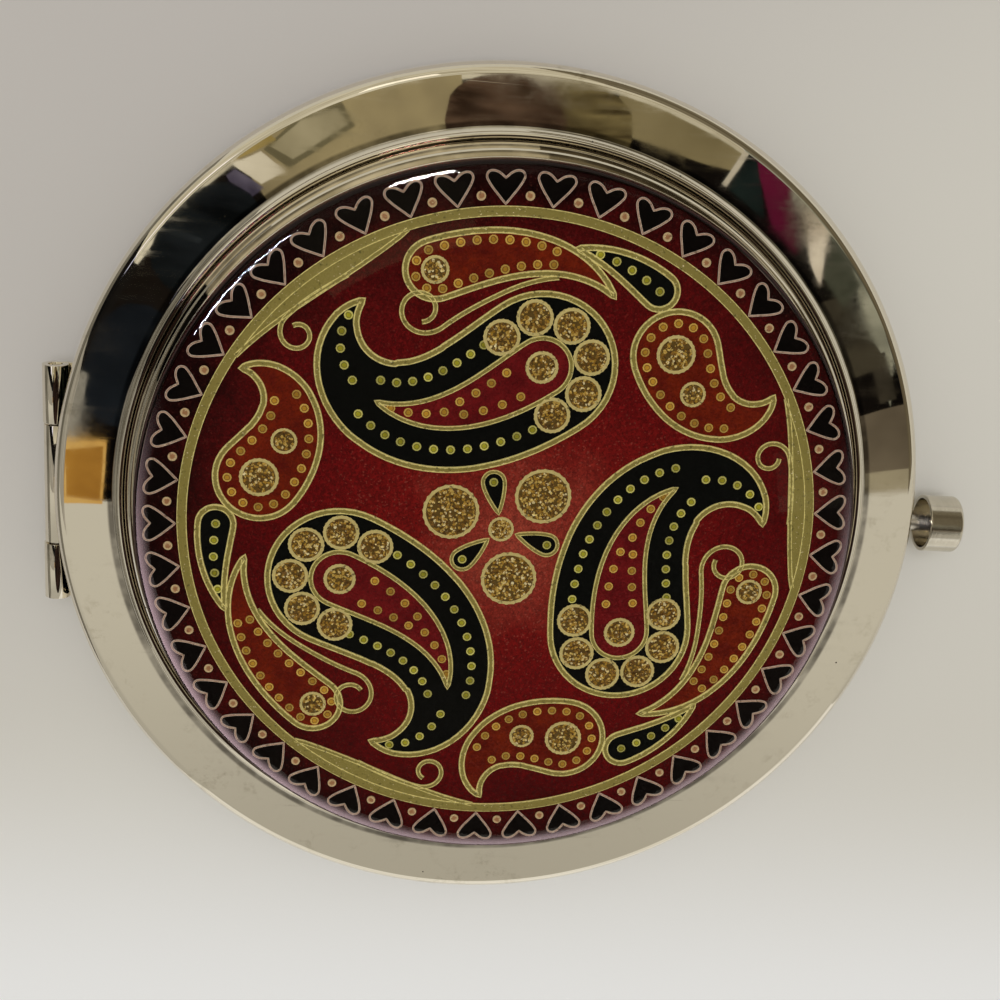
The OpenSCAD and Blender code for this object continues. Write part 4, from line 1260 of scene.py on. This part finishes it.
class COMPACT_OT_picture(bpy.types.Operator):
    """Draws the picture: drops of black and orange-red enamel between gilt wires, with dots and glitter"""
    bl_idname = "compact.picture"
    bl_label = "Lid picture"

    def execute(self, context):
        picture = context.scene.compact_picture
        gilt = gilt_of(picture)
        black = finish_of("black_enamel", field_enamel, "black_enamel", linear("#050807"), picture.black, 0.2)
        orange = finish_of("orange_enamel", field_enamel, "orange_enamel", linear("#5c1008"),
                           picture.orange, 0.5, 0.2)
        inner = finish_of("inner_enamel", field_enamel, "deep_crimson_enamel", linear("#5e0c12"),
                          linear("#7d181c"), 0.7, 0.3)
        # Each dot's colour is its painted lit middle, the last its painted bright ring
        amber = finish_of("amber_dots", dot_enamel, "amber_dot_enamel", picture.amber, linear("#7d4a10"),
                          linear("#d8b458"))
        green = finish_of("green_dots", dot_enamel, "green_dot_enamel", picture.green, linear("#6d6a16"),
                          linear("#d6d077"))
        low = GROUND - SUNK
        fields("black_fields", [d.outline() for d in (BIG_DROP, TWIG_DROP, *PETALS)], low, FIELD, black)
        fields("orange_fields", [SMALL_DROP.outline(), LEAF_DROP.outline()], low, FIELD, orange)
        fields("inner_fields", [BIG_DROP.outline(INNER)], low, FIELD + 0.01, inner)
        far, near = CRESCENT
        fields("gilt_crescents", [far + near[-2:0:-1]], low, PLATE_HIGH.z - 0.03, gilt)
        wires("outline_wires", [d.outline() for d in (BIG_DROP, SMALL_DROP, LEAF_DROP, TWIG_DROP)],
              mm(picture, "wire"), gilt)
        fine = mm(picture, "fine_wire")
        wires("inner_wires", [BIG_DROP.outline(INNER)], fine, gilt)
        wires("tendril_wires", TENDRILS + [near], fine, gilt, closed=False)
        wires("petal_wires", [d.outline() for d in PETALS], fine * 0.85, gilt)

        green_rows = [BIG_DROP.flank(s, 1.62, 0.13, 0.62) for s in (1, -1)]
        green_rows += [BIG_DROP.flank(0, 0, 0.70, 0.93), TWIG_DROP.flank(0, 0, 0.0, 0.75)]
        green_rows += [d.flank(0, 0, 0.0, 0.45) for d in PETALS]
        dots("green_dots", green_rows, picture, green)
        amber_rows = [BIG_DROP.flank(s, INNER + 1.05, 0.11, 0.30) for s in (1, -1)]
        amber_rows.append(BIG_DROP.flank(0, 0, 0.36, 0.54))
        for drop, inset in ((SMALL_DROP, 0.9), (LEAF_DROP, 0.68)):
            amber_rows.append(drop.flank(1, inset, 0.62, 0.02) + drop.head(inset, 0, math.pi)
                              + drop.flank(-1, inset, 0.02, 0.62))
        dots("amber_dots", amber_rows, picture, amber)

        small = mm(picture, "disc") / 2
        centres = [(p, small) for p in spaced(BIG_DROP.head(1.75, -0.35, math.pi + 0.35), 3.05)]
        centres += [(SMALL_DROP.line[0], small + 0.1), (SMALL_DROP.offset(0.31, 0), small - 0.4),
                    (LEAF_DROP.line[0], small - 0.35), (BIG_DROP.line[0], small - 0.15),
                    (FREE_DISC, small + 0.8), ((0, 0), 1.0)]
        top = PLATE_HIGH.z
        cups, beds = [], []
        for (x, y), radius in centres:
            lip = min(0.22, radius * 0.18)
            shape = [(0, low), (radius, low), (radius, top - 0.02), (radius - lip * 0.3, top),
                     (radius - lip, top), (radius - lip * 1.4, top - 0.06), (0, top - 0.06)]
            cup = turned("cup", shape, 72, lambda a, b, z: (a * toothed(a, b, radius) + x,
                                                            b * toothed(a, b, radius) + y, z))
            rim = cup.data.attributes.new("rim", "FLOAT", "POINT")
            rim.data.foreach_set("value", [
                float(math.hypot(v.co.x / MM - x, v.co.y / MM - y) > radius - lip * 1.1)
                for v in cup.data.vertices])
            cups.append(cup)
            ring = arc((x, y), radius - lip * 1.2, 0, 360 * 31 / 32, 31)
            beds.append(mesh_object("bed", [(a, b, top - 0.05) for a, b in ring], [list(range(32))]))
        # The light lip colour of the glitter cups is a painted highlight
        cup_gold = finish_of("cup_gilt", ribbon_metal, "gilt_cup", linear("#6b5220"), linear("#dccb88"),
                             linear("#3a2610"))
        discs = joined("glitter_cups", cups)
        through(discs, copies_round_tree, count=SECTORS, material=cup_gold)
        finished(tidy(discs, flip=False), "lid", "crimson_enamel", None)
        gold = finish_of("gold_glitter", glitter_flakes, picture)
        strewn = joined("glitter_flakes", beds)
        through(strewn, copies_round_tree, count=SECTORS, material=gold)
        through(strewn, glitter_tree, flake=picture.flake, material=gold)
        finished(strewn, "lid", "crimson_enamel", None)
        return {"FINISHED"}


class COMPACT_OT_dome(bpy.types.Operator):
    """Pours the clear dome over the badge"""
    bl_idname = "compact.dome"
    bl_label = "Clear dome"

    def execute(self, context):
        foot, low, high = DOME_HIGH.x, DOME_LOW.z, DOME_HIGH.z
        under = PLATE_HIGH.z + 0.03
        shoulder_top = PLATE_HIGH.z + 0.38
        rises = list(zip((0, 0.04, 0.15, 0.38, 0.8, 1.4), (0, 0.4, 0.66, 0.84, 0.95, 1)))
        edge = [(foot - inset, low + (shoulder_top - low) * rise) for inset, rise in rises]
        reach_in, rise = edge[-1][0], high - edge[-1][1]
        crown = (reach_in ** 2 + rise ** 2) / (2 * rise)
        start = math.degrees(math.acos(reach_in / crown))
        top = arc((0, high - crown), crown, start, 90, 40)
        line = flowing(edge + top[1:3], 5)[:-5] + top[2:]
        wall = PLATE_HIGH.x + 0.1
        dome = turned("resin_dome", [(wall, low)] + line + [(0, under), (wall, under)])
        for face in dome.data.polygons:
            out = math.hypot(face.center.x, face.center.y) / MM
            face.material_index = int(out > PLATE_HIGH.x and face.normal.z > -0.5)
        finished(dome, "lid", "clear_resin", [finish_of("clear_resin", clear_resin),
                                              finish_of("resin_edge", resin_edge)], "clear_dome")
        return {"FINISHED"}


# Mirrors

def mirror_faces(piece, face_up):
    """Gives the silvered face, the ground edge and the painted back their own materials."""
    for face in piece.data.polygons:
        up = face.normal.z * face_up
        face.material_index = 0 if up > 0.5 else 2 if up < -0.5 else 1


def ring_windows(piece):
    """Opens a ring where the hinge leaves and the latch pass through it."""
    far = CASE_X + 0.5
    cut(piece, block((-far, -NOTCH_HALF, 0), (LEAF_WINDOW_X, NOTCH_HALF, WINDOW_HEIGHT)))
    return cut(piece, block((LATCH_WINDOW_X, -LATCH_WINDOW_HALF, 0),
                            (LATCH_WINDOW_X + far, LATCH_WINDOW_HALF, WINDOW_HEIGHT)))


class COMPACT_OT_mirrors(bpy.types.Operator):
    """Sets the two mirror glasses, their pads and the rings round them"""
    bl_idname = "compact.mirrors"
    bl_label = "Mirrors and rings"

    def execute(self, context):
        mirrors = context.scene.compact_mirrors
        radius, lap, sheet = mm(mirrors, "glass_radius"), mm(mirrors, "ring_lap"), mm(mirrors, "ring_sheet")
        nickel = nickel_of(context.scene)
        glass = [finish_of("silvered_glass", silvering, mirrors), finish_of("ground_glass", ground_glass),
                 finish_of("backing_paint", backing_paint)]
        low, high = PLAIN_LOW.z, PLAIN_HIGH.z
        pane = [(0, low), (radius, low), (radius, high), (0, high)]
        plain = turned("lid_mirror_glass", broken(pane, 0.12, 2))
        mirror_faces(plain, -1)
        finished(plain, "lid", "mirror_glass", glass, "plain_mirror")

        low, high, deep = DISHED_LOW.z, DISHED_HIGH.z, mm(mirrors, "dish_depth")
        dish = radius - lap - 0.4
        curve = (dish ** 2 + deep ** 2) / (2 * deep)
        start = math.degrees(math.asin(dish / curve))
        hollow = arc((0, high - deep + curve), curve, start - 90, -90, 24)
        edge = broken([(radius, low), (radius, high), hollow[0]] + [(dish - 1, high - 1)], 0.12, 2)
        edge = [p for p in edge if p[0] > dish + 0.02]
        dished = turned("base_mirror_glass", [(0, low)] + edge + hollow)
        mirror_faces(dished, 1)
        finished(dished, "base", "mirror_glass", glass, "magnifying_mirror")

        opening, outer = radius - lap, RING_RADIUS
        for name, node, body, face, step in (
                ("base_ring", "base_mirror_ring", "base", DISHED_HIGH.z, -1),
                ("lid_ring", "lid_mirror_ring", "lid", PLAIN_LOW.z, 1)):
            skirt = BASE_RING_LOW.z if step < 0 else LID_RING_HIGH.z
            far = face - step * sheet
            outline = [(opening, face), (outer - sheet, face), (outer - sheet, skirt), (outer, skirt),
                       (outer, far), (opening, far)]
            ring = ring_windows(turned(name, broken(outline, 0.07, 3)))
            finished(ring, body, "polished_nickel", [nickel], node)
        foam = finish_of("adhesive_foam", adhesive_foam)
        for node in ("magnifying_mirror_pad", "plain_mirror_pad", "plate_pad"):
            dress_node(node, foam)
        return {"FINISHED"}


def bevelled(piece, width):
    """Adds a modifier that breaks a metal piece's sharp edges."""
    edge = piece.modifiers.new("edges", "BEVEL")
    edge.width = width * MM
    edge.segments = 2
    edge.limit_method = "ANGLE"
    edge.angle_limit = math.radians(40)
    return piece


def dress_node(name, finish, bevel=0.0):
    """Puts a finish on a CAD node, and breaks its edges with modifiers."""
    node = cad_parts[name]
    node.data.materials.clear()
    node.data.materials.append(finish)
    if bevel:
        weld = node.modifiers.new("weld", "WELD")
        weld.merge_threshold = 1e-6
        bevelled(node, bevel)


# Hinge

def rolled(radius, bore, side, reach_x):
    """Outline in X and Z of a strip rolled round the pin, leaving at its lower (-1) or upper (1) side."""
    slit = 0.12
    sheet = radius - bore
    tail = radius - sheet - slit
    outer_end = math.degrees(math.asin(tail / radius))
    inner_end = math.degrees(math.asin(min(1, tail / bore)))
    outer = arc((0, 0), radius, -90, -360 - outer_end, 40)
    inner = arc((0, 0), bore, -360 - inner_end, -90, 40)
    line = [(reach_x, -radius)] + outer + inner + [(reach_x, -bore)]
    return [(x, -side * z) for x, z in line] if side > 0 else line


def along_y(outline, x0, z0, y0, y1, name="strip"):
    """A strip whose outline in X and Z runs along Y."""
    return plate(name, outline, y0, y1, lambda x, z, y: (x0 + x, y, z0 + z))


def edge_break(piece, width=0.04):
    """Breaks the sharp edges of a metal piece."""
    return tidy(settled(bevelled(piece, width)), flip=False)


class COMPACT_OT_hinge(bpy.types.Operator):
    """Rolls the hinge's leaves round their pin"""
    bl_idname = "compact.hinge"
    bl_label = "Hinge"

    def execute(self, context):
        hinge = context.scene.compact_hinge
        nickel = nickel_of(context.scene)
        x, z = mm(hinge, "axis_x"), mm(hinge, "axis_z")
        bore, big, small = mm(hinge, "bore"), mm(hinge, "end_radius"), mm(hinge, "middle_radius")
        half, gap = mm(hinge, "middle_length") / 2, mm(hinge, "knuckle_gap")
        far = BARREL_HIGH.y
        floor = BARREL_LOW.z
        low = z - big
        sheet = big - bore

        leaf = along_y(rolled(big, bore, -1, TAB_X - x + LAP), x, z, half + gap, far, "base_leaf")
        other = along_y(rolled(big, bore, -1, TAB_X - x + LAP), x, z, -far, -half - gap)
        cut(leaf, other, "UNION")
        cut(leaf, block((TAB_X, -far, low), (DROP_X, far, low + sheet)), "UNION")
        web = [(WEB_X, floor), (FOOT_X, floor), (FOOT_X, floor + sheet), (DROP_X, floor + sheet),
               (DROP_X, low + LAP), (WEB_X, low + LAP)]
        cut(leaf, along_y(web, 0, 0, -half, half), "UNION")
        finished(edge_break(leaf), "base", "polished_nickel", [nickel], "base_hinge_leaf")

        sheet = small - bore
        ceiling = MIDDLE_HIGH.z
        high = z + small
        bend = WEB_X + sheet
        lid_leaf = along_y(rolled(small, bore, 1, WEB_X + LAP - x), x, z, -half, half, "lid_leaf")
        strip = [(WEB_X, high - sheet), (bend, high - sheet), (bend, ceiling - sheet),
                 (bend + LID_FOOT, ceiling - sheet), (bend + LID_FOOT, ceiling), (WEB_X, ceiling)]
        cut(lid_leaf, along_y(strip, 0, 0, -half, half), "UNION")
        finished(edge_break(lid_leaf), "lid", "polished_nickel", [nickel], "lid_hinge_leaf")

        end = PIN_HIGH.y
        bar = broken([(0, -end), (PIN_RADIUS, -end), (PIN_RADIUS, end), (0, end)], 0.12, 4)
        pin = turned("steel_pin", bar, 48, lambda a, b, h: (x + a, h, z + b))
        finished(pin, "base", "pin_steel", [pin_steel()], "hinge_pin")
        return {"FINISHED"}


# Button and latch

class COMPACT_OT_button(bpy.types.Operator):
    """Turns the push button's cap and stem, and winds its return spring"""
    bl_idname = "compact.button"
    bl_label = "Push button"

    def execute(self, context):
        button = context.scene.compact_button
        radius, wall, hollow = mm(button, "cap_radius"), mm(button, "cap_wall"), mm(button, "cap_hollow")
        inner, outer = CAP_LOW.x, CAP_HIGH.x
        stem = mm(button, "stem_radius")
        bed = inner + hollow
        seat = bed + 0.7
        outline = [(0, outer)] + arc((radius - 0.3, outer - 0.3), 0.3, 90, 0, 8)
        outline += [(radius, inner), (radius - wall, inner), (radius - wall, bed), (stem, bed), (stem, seat),
                    (0, seat)]
        cap = turned("button_top", broken(outline, 0.06, 4), SMALL_ROUND_STEPS, lying)
        finished(cap, "button", "polished_nickel", [turned_nickel()], "button_cap")

        line = [(0, STEM_LOW.x), (TAIL_RADIUS, STEM_LOW.x), (TAIL_RADIUS, STEM_SHOULDER),
                (stem, STEM_SHOULDER), (stem, STEM_HIGH.x), (0, STEM_HIGH.x)]
        rod = turned("button_rod", broken(line, 0.05, 3), 48, lying)
        finished(rod, "button", "pin_steel", [turned_steel()], "button_stem")

        wire = button.spring_wire / 2
        coil_radius = (SPRING_HIGH.y - SPRING_LOW.y) / 2 * MM - wire
        run = (SPRING_HIGH.x - SPRING_LOW.x) * MM - 2 * wire
        coil = mesh_object("return_spring", [(0, 0, 0)], [])
        through(coil, coil_tree, turns=button.spring_turns, coil_radius=coil_radius, length=run,
                wire_radius=wire * 0.98, material=spring_steel())
        coil.data.transform(Matrix.Translation((SPRING_LOW.x * MM + wire, 0, STEM_Z * MM)))
        tidy(coil)
        finished(coil, "base", "spring_steel", None, "button_spring")
        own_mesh(coil)
        dress_node("stem_clip", spring_steel(), 0.03)
        return {"FINISHED"}


class COMPACT_OT_latch(bpy.types.Operator):
    """Finishes the stamped pieces of the latch"""
    bl_idname = "compact.latch"
    bl_label = "Latch"

    def execute(self, context):
        for node in ("latch_bracket", "latch_hook", "lid_catch"):
            dress_node(node, satin_nickel(), 0.04)
        return {"FINISHED"}


# Stage

CAMERA_TILT = math.radians(18.06)      # from straight above, about the camera's own X
CAMERA_LEAN = math.radians(5.06)       # and about its Y
PART_TURN = math.radians(-4.73)        # of the case in the picture
CAMERA_OFFSET = Vector((0.10, -2.36, -112.04))    # mm, from the camera to the case's axis at CAMERA_LEVEL
CAMERA_LEVEL = 10.4                    # mm
BAND_Z = 6.3                           # mm, mean height of the polished band
BAND_SLOPE = math.radians(3.3)         # mean slope of the band towards the edge


def camera_matrix():
    """The camera's place in the part's frame, from the fit to the border and the case's outline."""
    look = Matrix.Rotation(CAMERA_TILT, 3, "X") @ Matrix.Rotation(CAMERA_LEAN, 3, "Y")
    look = look @ Matrix.Rotation(PART_TURN, 3, "Z")
    place = look.transposed() @ -CAMERA_OFFSET + Vector((0, 0, CAMERA_LEVEL))
    return Matrix.Translation(place * MM) @ look.transposed().to_4x4()


def seen_in_band(degrees, radius, height):
    """Where a level card at that height shows in the polished band at an angle and a radius."""
    angle = math.radians(degrees)
    out = Vector((math.cos(angle), math.sin(angle), 0))
    spot = out * radius + Vector((0, 0, BAND_Z))
    normal = (out * math.sin(BAND_SLOPE) + Vector((0, 0, math.cos(BAND_SLOPE)))).normalized()
    eye = camera_matrix().translation / MM
    ray = (spot - eye).reflect(normal)
    hit = spot + ray * ((height - spot.z) / ray.z)
    return hit.x, hit.y


def emitter(name, dark, light, size, stretch=None):
    """Card stock or room wall as the metal mirrors it, a little uneven."""
    made, tree, place = material(name)
    if stretch:
        place = add(tree, MAPPING, {"Vector": place, "Scale": stretch})
    cloud = add(tree, RANGE, add(tree, NOISE, place, per_metre(size), 3.0, 0.5), 0.35, 0.65)
    colour = add(tree, MIX, cloud, linear(dark), linear(light), **COLOUR)
    add(tree, OUTPUT, add(tree, "ShaderNodeEmission", colour))
    return made


def card(name, corners, dark, light, size, stretch=None):
    """A studio card that only the gloss of the part sees."""
    made = mesh_object(name, corners, [list(range(len(corners)))[::-1]])
    made.data.materials.append(emitter(name + "_stock", dark, light, size, stretch))
    made.visible_camera = False
    made.visible_diffuse = False
    made.visible_shadow = False
    made.visible_transmission = False
    return made


def sector(first, last, inner, outer, steps=8):
    """Outline of a sector of the band, in degrees and millimetres."""
    angles = [first + (last - first) * k / steps for k in range(steps + 1)]
    return [(a, inner) for a in angles] + [(a, outer) for a in reversed(angles)]


def hump(first, last, inner, outer, steps=16):
    """Outline of a card with a rounded top, in degrees and millimetres of the band."""
    shares = [k / steps for k in range(steps + 1)]
    top = [(last + (first - last) * s, inner + (outer - inner) * (1 - abs(2 * s - 1) ** 2.6) ** 0.5)
           for s in shares]
    return [(first, inner - 3), (last, inner - 3)] + top


CARDS = [
    # name, outline as (angle, radius) in the band, darker and lighter colour, mottle size in millimetres,
    # and the mottle's stretch where it has one
    ("shade_card", sector(18, 181, 2, 34.6, 32), "#080706", "#171310", 60.0),
    ("dome_shade", [(8 * k, 29.4) for k in range(45)], "#150f0c", "#33251f", 60.0),
    ("dim_corner", sector(14, 36, 34.4, 70, 8), "#1d1716", "#4a3d38", 60.0),
    ("side_card", sector(9.5, 19, 20, 60), "#554c3f", "#6f6555", 30.0),
    ("soft_card", sector(6.4, 9.7, 20, 60), "#857c68", "#a0977f", 30.0),
    ("green_streak", [(19, 32.4), (40, 33.5), (61, 33.8), (61, 60), (34, 60), (28, 34.0)], "#4d4f45",
     "#a3a290", 40.0, (0.5, 2.0, 1.0)),
    ("moss_card", sector(20, 27, 31.6, 33.0), "#1b1a16", "#3d382e", 14.0),
    ("brown_card", [(25, 30.0), (38, 30.0), (37, 32.0), (25, 33.0)], "#24211b", "#413c30", 14.0),
    ("slate_card", [(35, 31.4), (41, 31.2), (45, 33.5), (37, 33.4)], "#23241c", "#45473b", 12.0),
    ("white_slip", [(40, 30.6), (44, 31.0), (51, 33.7), (46, 33.9)], "#b9ac98", "#dcd2c0", 20.0),
    ("rose_card", [(46, 30.6), (51.5, 30.6), (60.4, 34.0), (54, 34.0)], "#4a1026", "#6a1c38", 30.0),
    ("night_card", [(53, 30.6), (60, 30.6), (61, 33.6), (59, 33.6)], "#0c1010", "#1c2624", 20.0),
    ("light_slip", sector(60.4, 61.2, 30.6, 34.6), "#b5ad9c", "#c9c2b0", 20.0),
    ("tan_wall", [(61.2, 31.8), (66, 31.0), (79, 30.7), (79, 60), (61.2, 60)], "#665b3e", "#8f8362", 50.0),
    ("pale_wall", sector(61.2, 148, 33.3, 150, 24), "#b0a890", "#e0d9c4", 60.0),
    ("pale_card", sector(99, 129, 20, 33.8), "#82765a", "#ab9d76", 30.0),
    ("khaki_card", hump(75.5, 93, 30.5, 33.5), "#3d331f", "#7a6d48", 5.0, (0.35, 3.0, 1.0)),
    ("mauve_card", hump(85, 101.8, 30.5, 33.6), "#2f2219", "#5f4b3b", 6.0, (0.4, 2.4, 1.0)),
    ("frame_edge", [(113.6, 31.6), (124, 30.9), (125.6, 33.0), (120, 33.8), (114.2, 33.5)], "#625b44",
     "#70694f", 20.0),
    ("frame_card", [(114.4, 31.9), (123, 31.3), (124.6, 32.9), (119.8, 33.5), (115, 33.2)], "#8f866a",
     "#aaa184", 20.0),
    ("yellow_slip", [(123.6, 33.1), (129.5, 33.5), (131, 33.8), (124, 33.8)], "#8a7844", "#a8935a", 20.0),
    ("cream_slip", [(124.6, 30.8), (128.4, 31.0), (130, 33.4), (126, 33.0)], "#c9c0aa", "#e0d8c4", 20.0),
    ("violet_slip", [(128.4, 30.7), (132, 30.7), (131.4, 33.0), (130, 33.0)], "#3d3848", "#6f697c", 12.0),
    ("black_card", hump(130.4, 147.8, 31.0, 33.7), "#0a0c0d", "#1c2023", 12.0, (0.5, 1.6, 1.0)),
    ("grey_edge", [(139.4, 30.8), (140.2, 30.8), (142.4, 33.4), (141.4, 33.4)], "#16191b", "#2a2f32", 12.0),
    ("dark_wall", sector(147.6, 166, 33.2, 150, 6), "#0a0a0a", "#191715", 60.0),
    ("navy_card", hump(151.3, 169.6, 31.0, 33.6), "#111418", "#1d2228", 30.0),
    ("grey_wall", sector(164, 186, 33.8, 150, 6), "#8d887e", "#b5b0a4", 40.0),
    ("crescent_card", [(163.5, 33.1), (172.5, 32.8), (172.5, 36), (163, 36)], "#77746c", "#a8a49a", 20.0),
    ("tan_rim", [(171.8, 30.6), (181.5, 30.6), (181.5, 33.9), (172.6, 34.0)], "#c99a4c", "#dcb873", 20.0),
    ("tan_card", [(172.8, 30.8), (181, 30.8), (180.6, 33.3), (174.2, 33.6)], "#96682a", "#b38338", 20.0),
]
SIDE_CARDS = [
    # name, corners in millimetres, darker and lighter colour, mottle size in millimetres
    ("button_card", [(118, -40, 150), (300, -40, 150), (300, 420, 150), (40, 420, 150), (40, 75, 150),
                     (85, 45, 150), (108, 8, 150)], "#5d5442", "#7d745f", 90.0),
    ("hinge_card", [(-240, -220, 0), (-240, 240, 0), (-280, 240, 150), (-280, -220, 150)], "#5f5b52",
     "#8b877c", 60.0),
    ("paper_card", [(-160, -250, 0), (-120, -280, 230), (90, -280, 270), (330, -280, 270), (330, -250, 0)],
     "#e4e0d4", "#fcfaf4", 90.0),
]


def toward(degrees, elevation, distance):
    """A place at that direction and distance from the part, in millimetres."""
    turn, rise = math.radians(degrees), math.radians(elevation)
    return (distance * math.cos(rise) * math.cos(turn), distance * math.cos(rise) * math.sin(turn),
            distance * math.sin(rise))


def soft_light(name, place, target, size, power, colour):
    """A soft light of a width and a height, aimed at a point."""
    lamp = bpy.data.lights.new(name, "AREA")
    lamp.energy = power
    lamp.shape = "RECTANGLE"
    lamp.size, lamp.size_y = size[0] * MM, size[1] * MM
    lamp.color = linear(colour)
    made = bpy.data.objects.new(name, lamp)
    made.location = Vector(place) * MM
    made.rotation_euler = (Vector(target) - Vector(place)).to_track_quat("-Z", "Y").to_euler()
    bpy.context.scene.collection.objects.link(made)
    return made


def floor_finish(stage):
    """Pale matt board with a very fine tooth: a little lighter in front of the case, and a little lighter to its
    right as a painted pool of light; both fade out away from the case.
    """
    made, tree, place = material("pale_board")
    cloud = add(tree, NOISE, place, per_metre(60.0), 2.0, 0.6)
    away = add(tree, SPLIT, place, out="Y")
    spread = add(tree, VECTOR, place, operation="LENGTH")
    pool = add(tree, RANGE, spread, 0.09, 0.3, 1.0, 0.0, **SMOOTH)
    near = add(tree, MATH, add(tree, RANGE, away, -0.02, -0.055, **SMOOTH), pool, operation="MULTIPLY")
    # Painted light: a little lighter towards the case's right, fading out away from the case
    slant = add(tree, VECTOR, place, (0.6, -0.8, 0), operation="DOT_PRODUCT")
    lit = add(tree, MATH, add(tree, RANGE, slant, -0.045, 0.008, **SMOOTH), pool, operation="MULTIPLY")
    colour = add(tree, MIX, cloud, stage.floor, linear("#c6c2bd"), **COLOUR)
    colour = add(tree, MIX, lit, colour, linear("#d7d4cc"), **COLOUR)
    colour = add(tree, MIX, near, colour, linear("#f3f4f6"), **COLOUR)
    tooth = add(tree, NOISE, place, per_metre(0.4), 4.0, 0.6)
    bump = add(tree, BUMP, {"Strength": 0.08, "Distance": 0.05 * MM, "Height": tooth})
    add(tree, OUTPUT, add(tree, SURFACE, {"Base Color": colour, "Roughness": 0.75, "Normal": bump}))
    return made


class COMPACT_OT_stage(bpy.types.Operator):
    """Sets the pale floor, the soft lights, the studio cards and the camera"""
    bl_idname = "compact.stage"
    bl_label = "Stage"

    def execute(self, context):
        scene = context.scene
        stage = scene.compact_stage
        wide, down = 3000, -0.02
        floor = mesh_object("floor", [(-wide, -wide, down), (wide, -wide, down), (wide, wide, down),
                                      (-wide, wide, down)], [[0, 1, 2, 3]])
        floor.data.materials.append(floor_finish(stage))
        for k, (name, outline, *look) in enumerate(CARDS):
            height = mm(stage, "card_height") - k * 0.5
            card(name, [(*seen_in_band(a, r, height), height) for a, r in outline], *look)
        for name, corners, *look in SIDE_CARDS:
            card(name, corners, *look)
        middle = (0, 0, 6)
        lit = bpy.data.collections.new("lit_by_the_lamps")
        for piece in ("resin_dome", "button_rod"):
            lit.objects.link(bpy.data.objects[piece])
        for name, degrees, size, power, colour in (
                ("lamp", 105, (34, 60), stage.lamp_power, "#fffaf2"),
                ("blue_lamp", 157, (70, 26), stage.lamp_power * 0.9, "#dfe0ff")):
            lamp = soft_light(name, toward(degrees, 60, 250), middle, size, power, colour)
            lamp.light_linking.receiver_collection = lit
            glow = soft_light(name + "_glow", toward(degrees, 60, 252), middle, size,
                              stage.lamp_power * 0.002, colour)
            glow.visible_diffuse = False
        soft_light("key_light", toward(100, 74, 760), middle, (420, 420), stage.key_power,
                   "#eef2ff").visible_glossy = False

        room = bpy.data.worlds.new("pale_room")
        room.use_nodes = True
        tree = room.node_tree
        tree.nodes.clear()
        aside = add(tree, SPLIT, add(tree, "ShaderNodeTexCoord", out="Generated"), out="Y")
        near = add(tree, RANGE, aside, -0.36, -0.64, 1.1, 0.84, **SMOOTH)
        add(tree, "ShaderNodeOutputWorld", add(tree, "ShaderNodeBackground", stage.room, near))
        scene.world = room

        lens = bpy.data.cameras.new("camera")
        lens.lens = stage.lens
        lens.sensor_width = 36
        lens.clip_start = 0.005
        camera = bpy.data.objects.new("camera", lens)
        camera.matrix_world = camera_matrix()
        scene.collection.objects.link(camera)
        scene.camera = camera
        scene.view_settings.view_transform = "Standard"
        return {"FINISHED"}


OPERATORS = [COMPACT_OT_shells, COMPACT_OT_bezel, COMPACT_OT_border, COMPACT_OT_picture, COMPACT_OT_dome,
             COMPACT_OT_mirrors, COMPACT_OT_hinge, COMPACT_OT_button, COMPACT_OT_latch, COMPACT_OT_stage]


class COMPACT_PT_panel(bpy.types.Panel):
    """Lists the pieces of the compact mirror"""
    bl_label = "Compact Mirror"
    bl_idname = "COMPACT_PT_panel"
    bl_space_type = "VIEW_3D"
    bl_region_type = "UI"
    bl_category = "Compact"

    def draw(self, context):
        for operator in OPERATORS:
            self.layout.operator(operator.bl_idname)
        for name, group in GROUPS.items():
            box = self.layout.box()
            box.label(text=group.__doc__)
            for prop in group.__annotations__:
                box.prop(getattr(context.scene, name), prop)


def register():
    for group in GROUPS.values():
        bpy.utils.register_class(group)
    for operator in OPERATORS:
        bpy.utils.register_class(operator)
    bpy.utils.register_class(COMPACT_PT_panel)
    for name, group in GROUPS.items():
        setattr(bpy.types.Scene, name, PointerProperty(type=group))


def unregister():
    for name in GROUPS:
        delattr(bpy.types.Scene, name)
    for group in [COMPACT_PT_panel, *reversed(OPERATORS), *reversed(list(GROUPS.values()))]:
        bpy.utils.unregister_class(group)


def plain(bounds):
    """The two corners of a box as lists of numbers."""
    return [list(corner) for corner in bounds]


def main():
    """Builds every piece in order."""
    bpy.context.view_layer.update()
    register()
    for operator in OPERATORS:
        group, name = operator.bl_idname.split(".")
        getattr(getattr(bpy.ops, group), name)()
    bpy.context.view_layer.update()


if __name__ == "__main__":
    main()
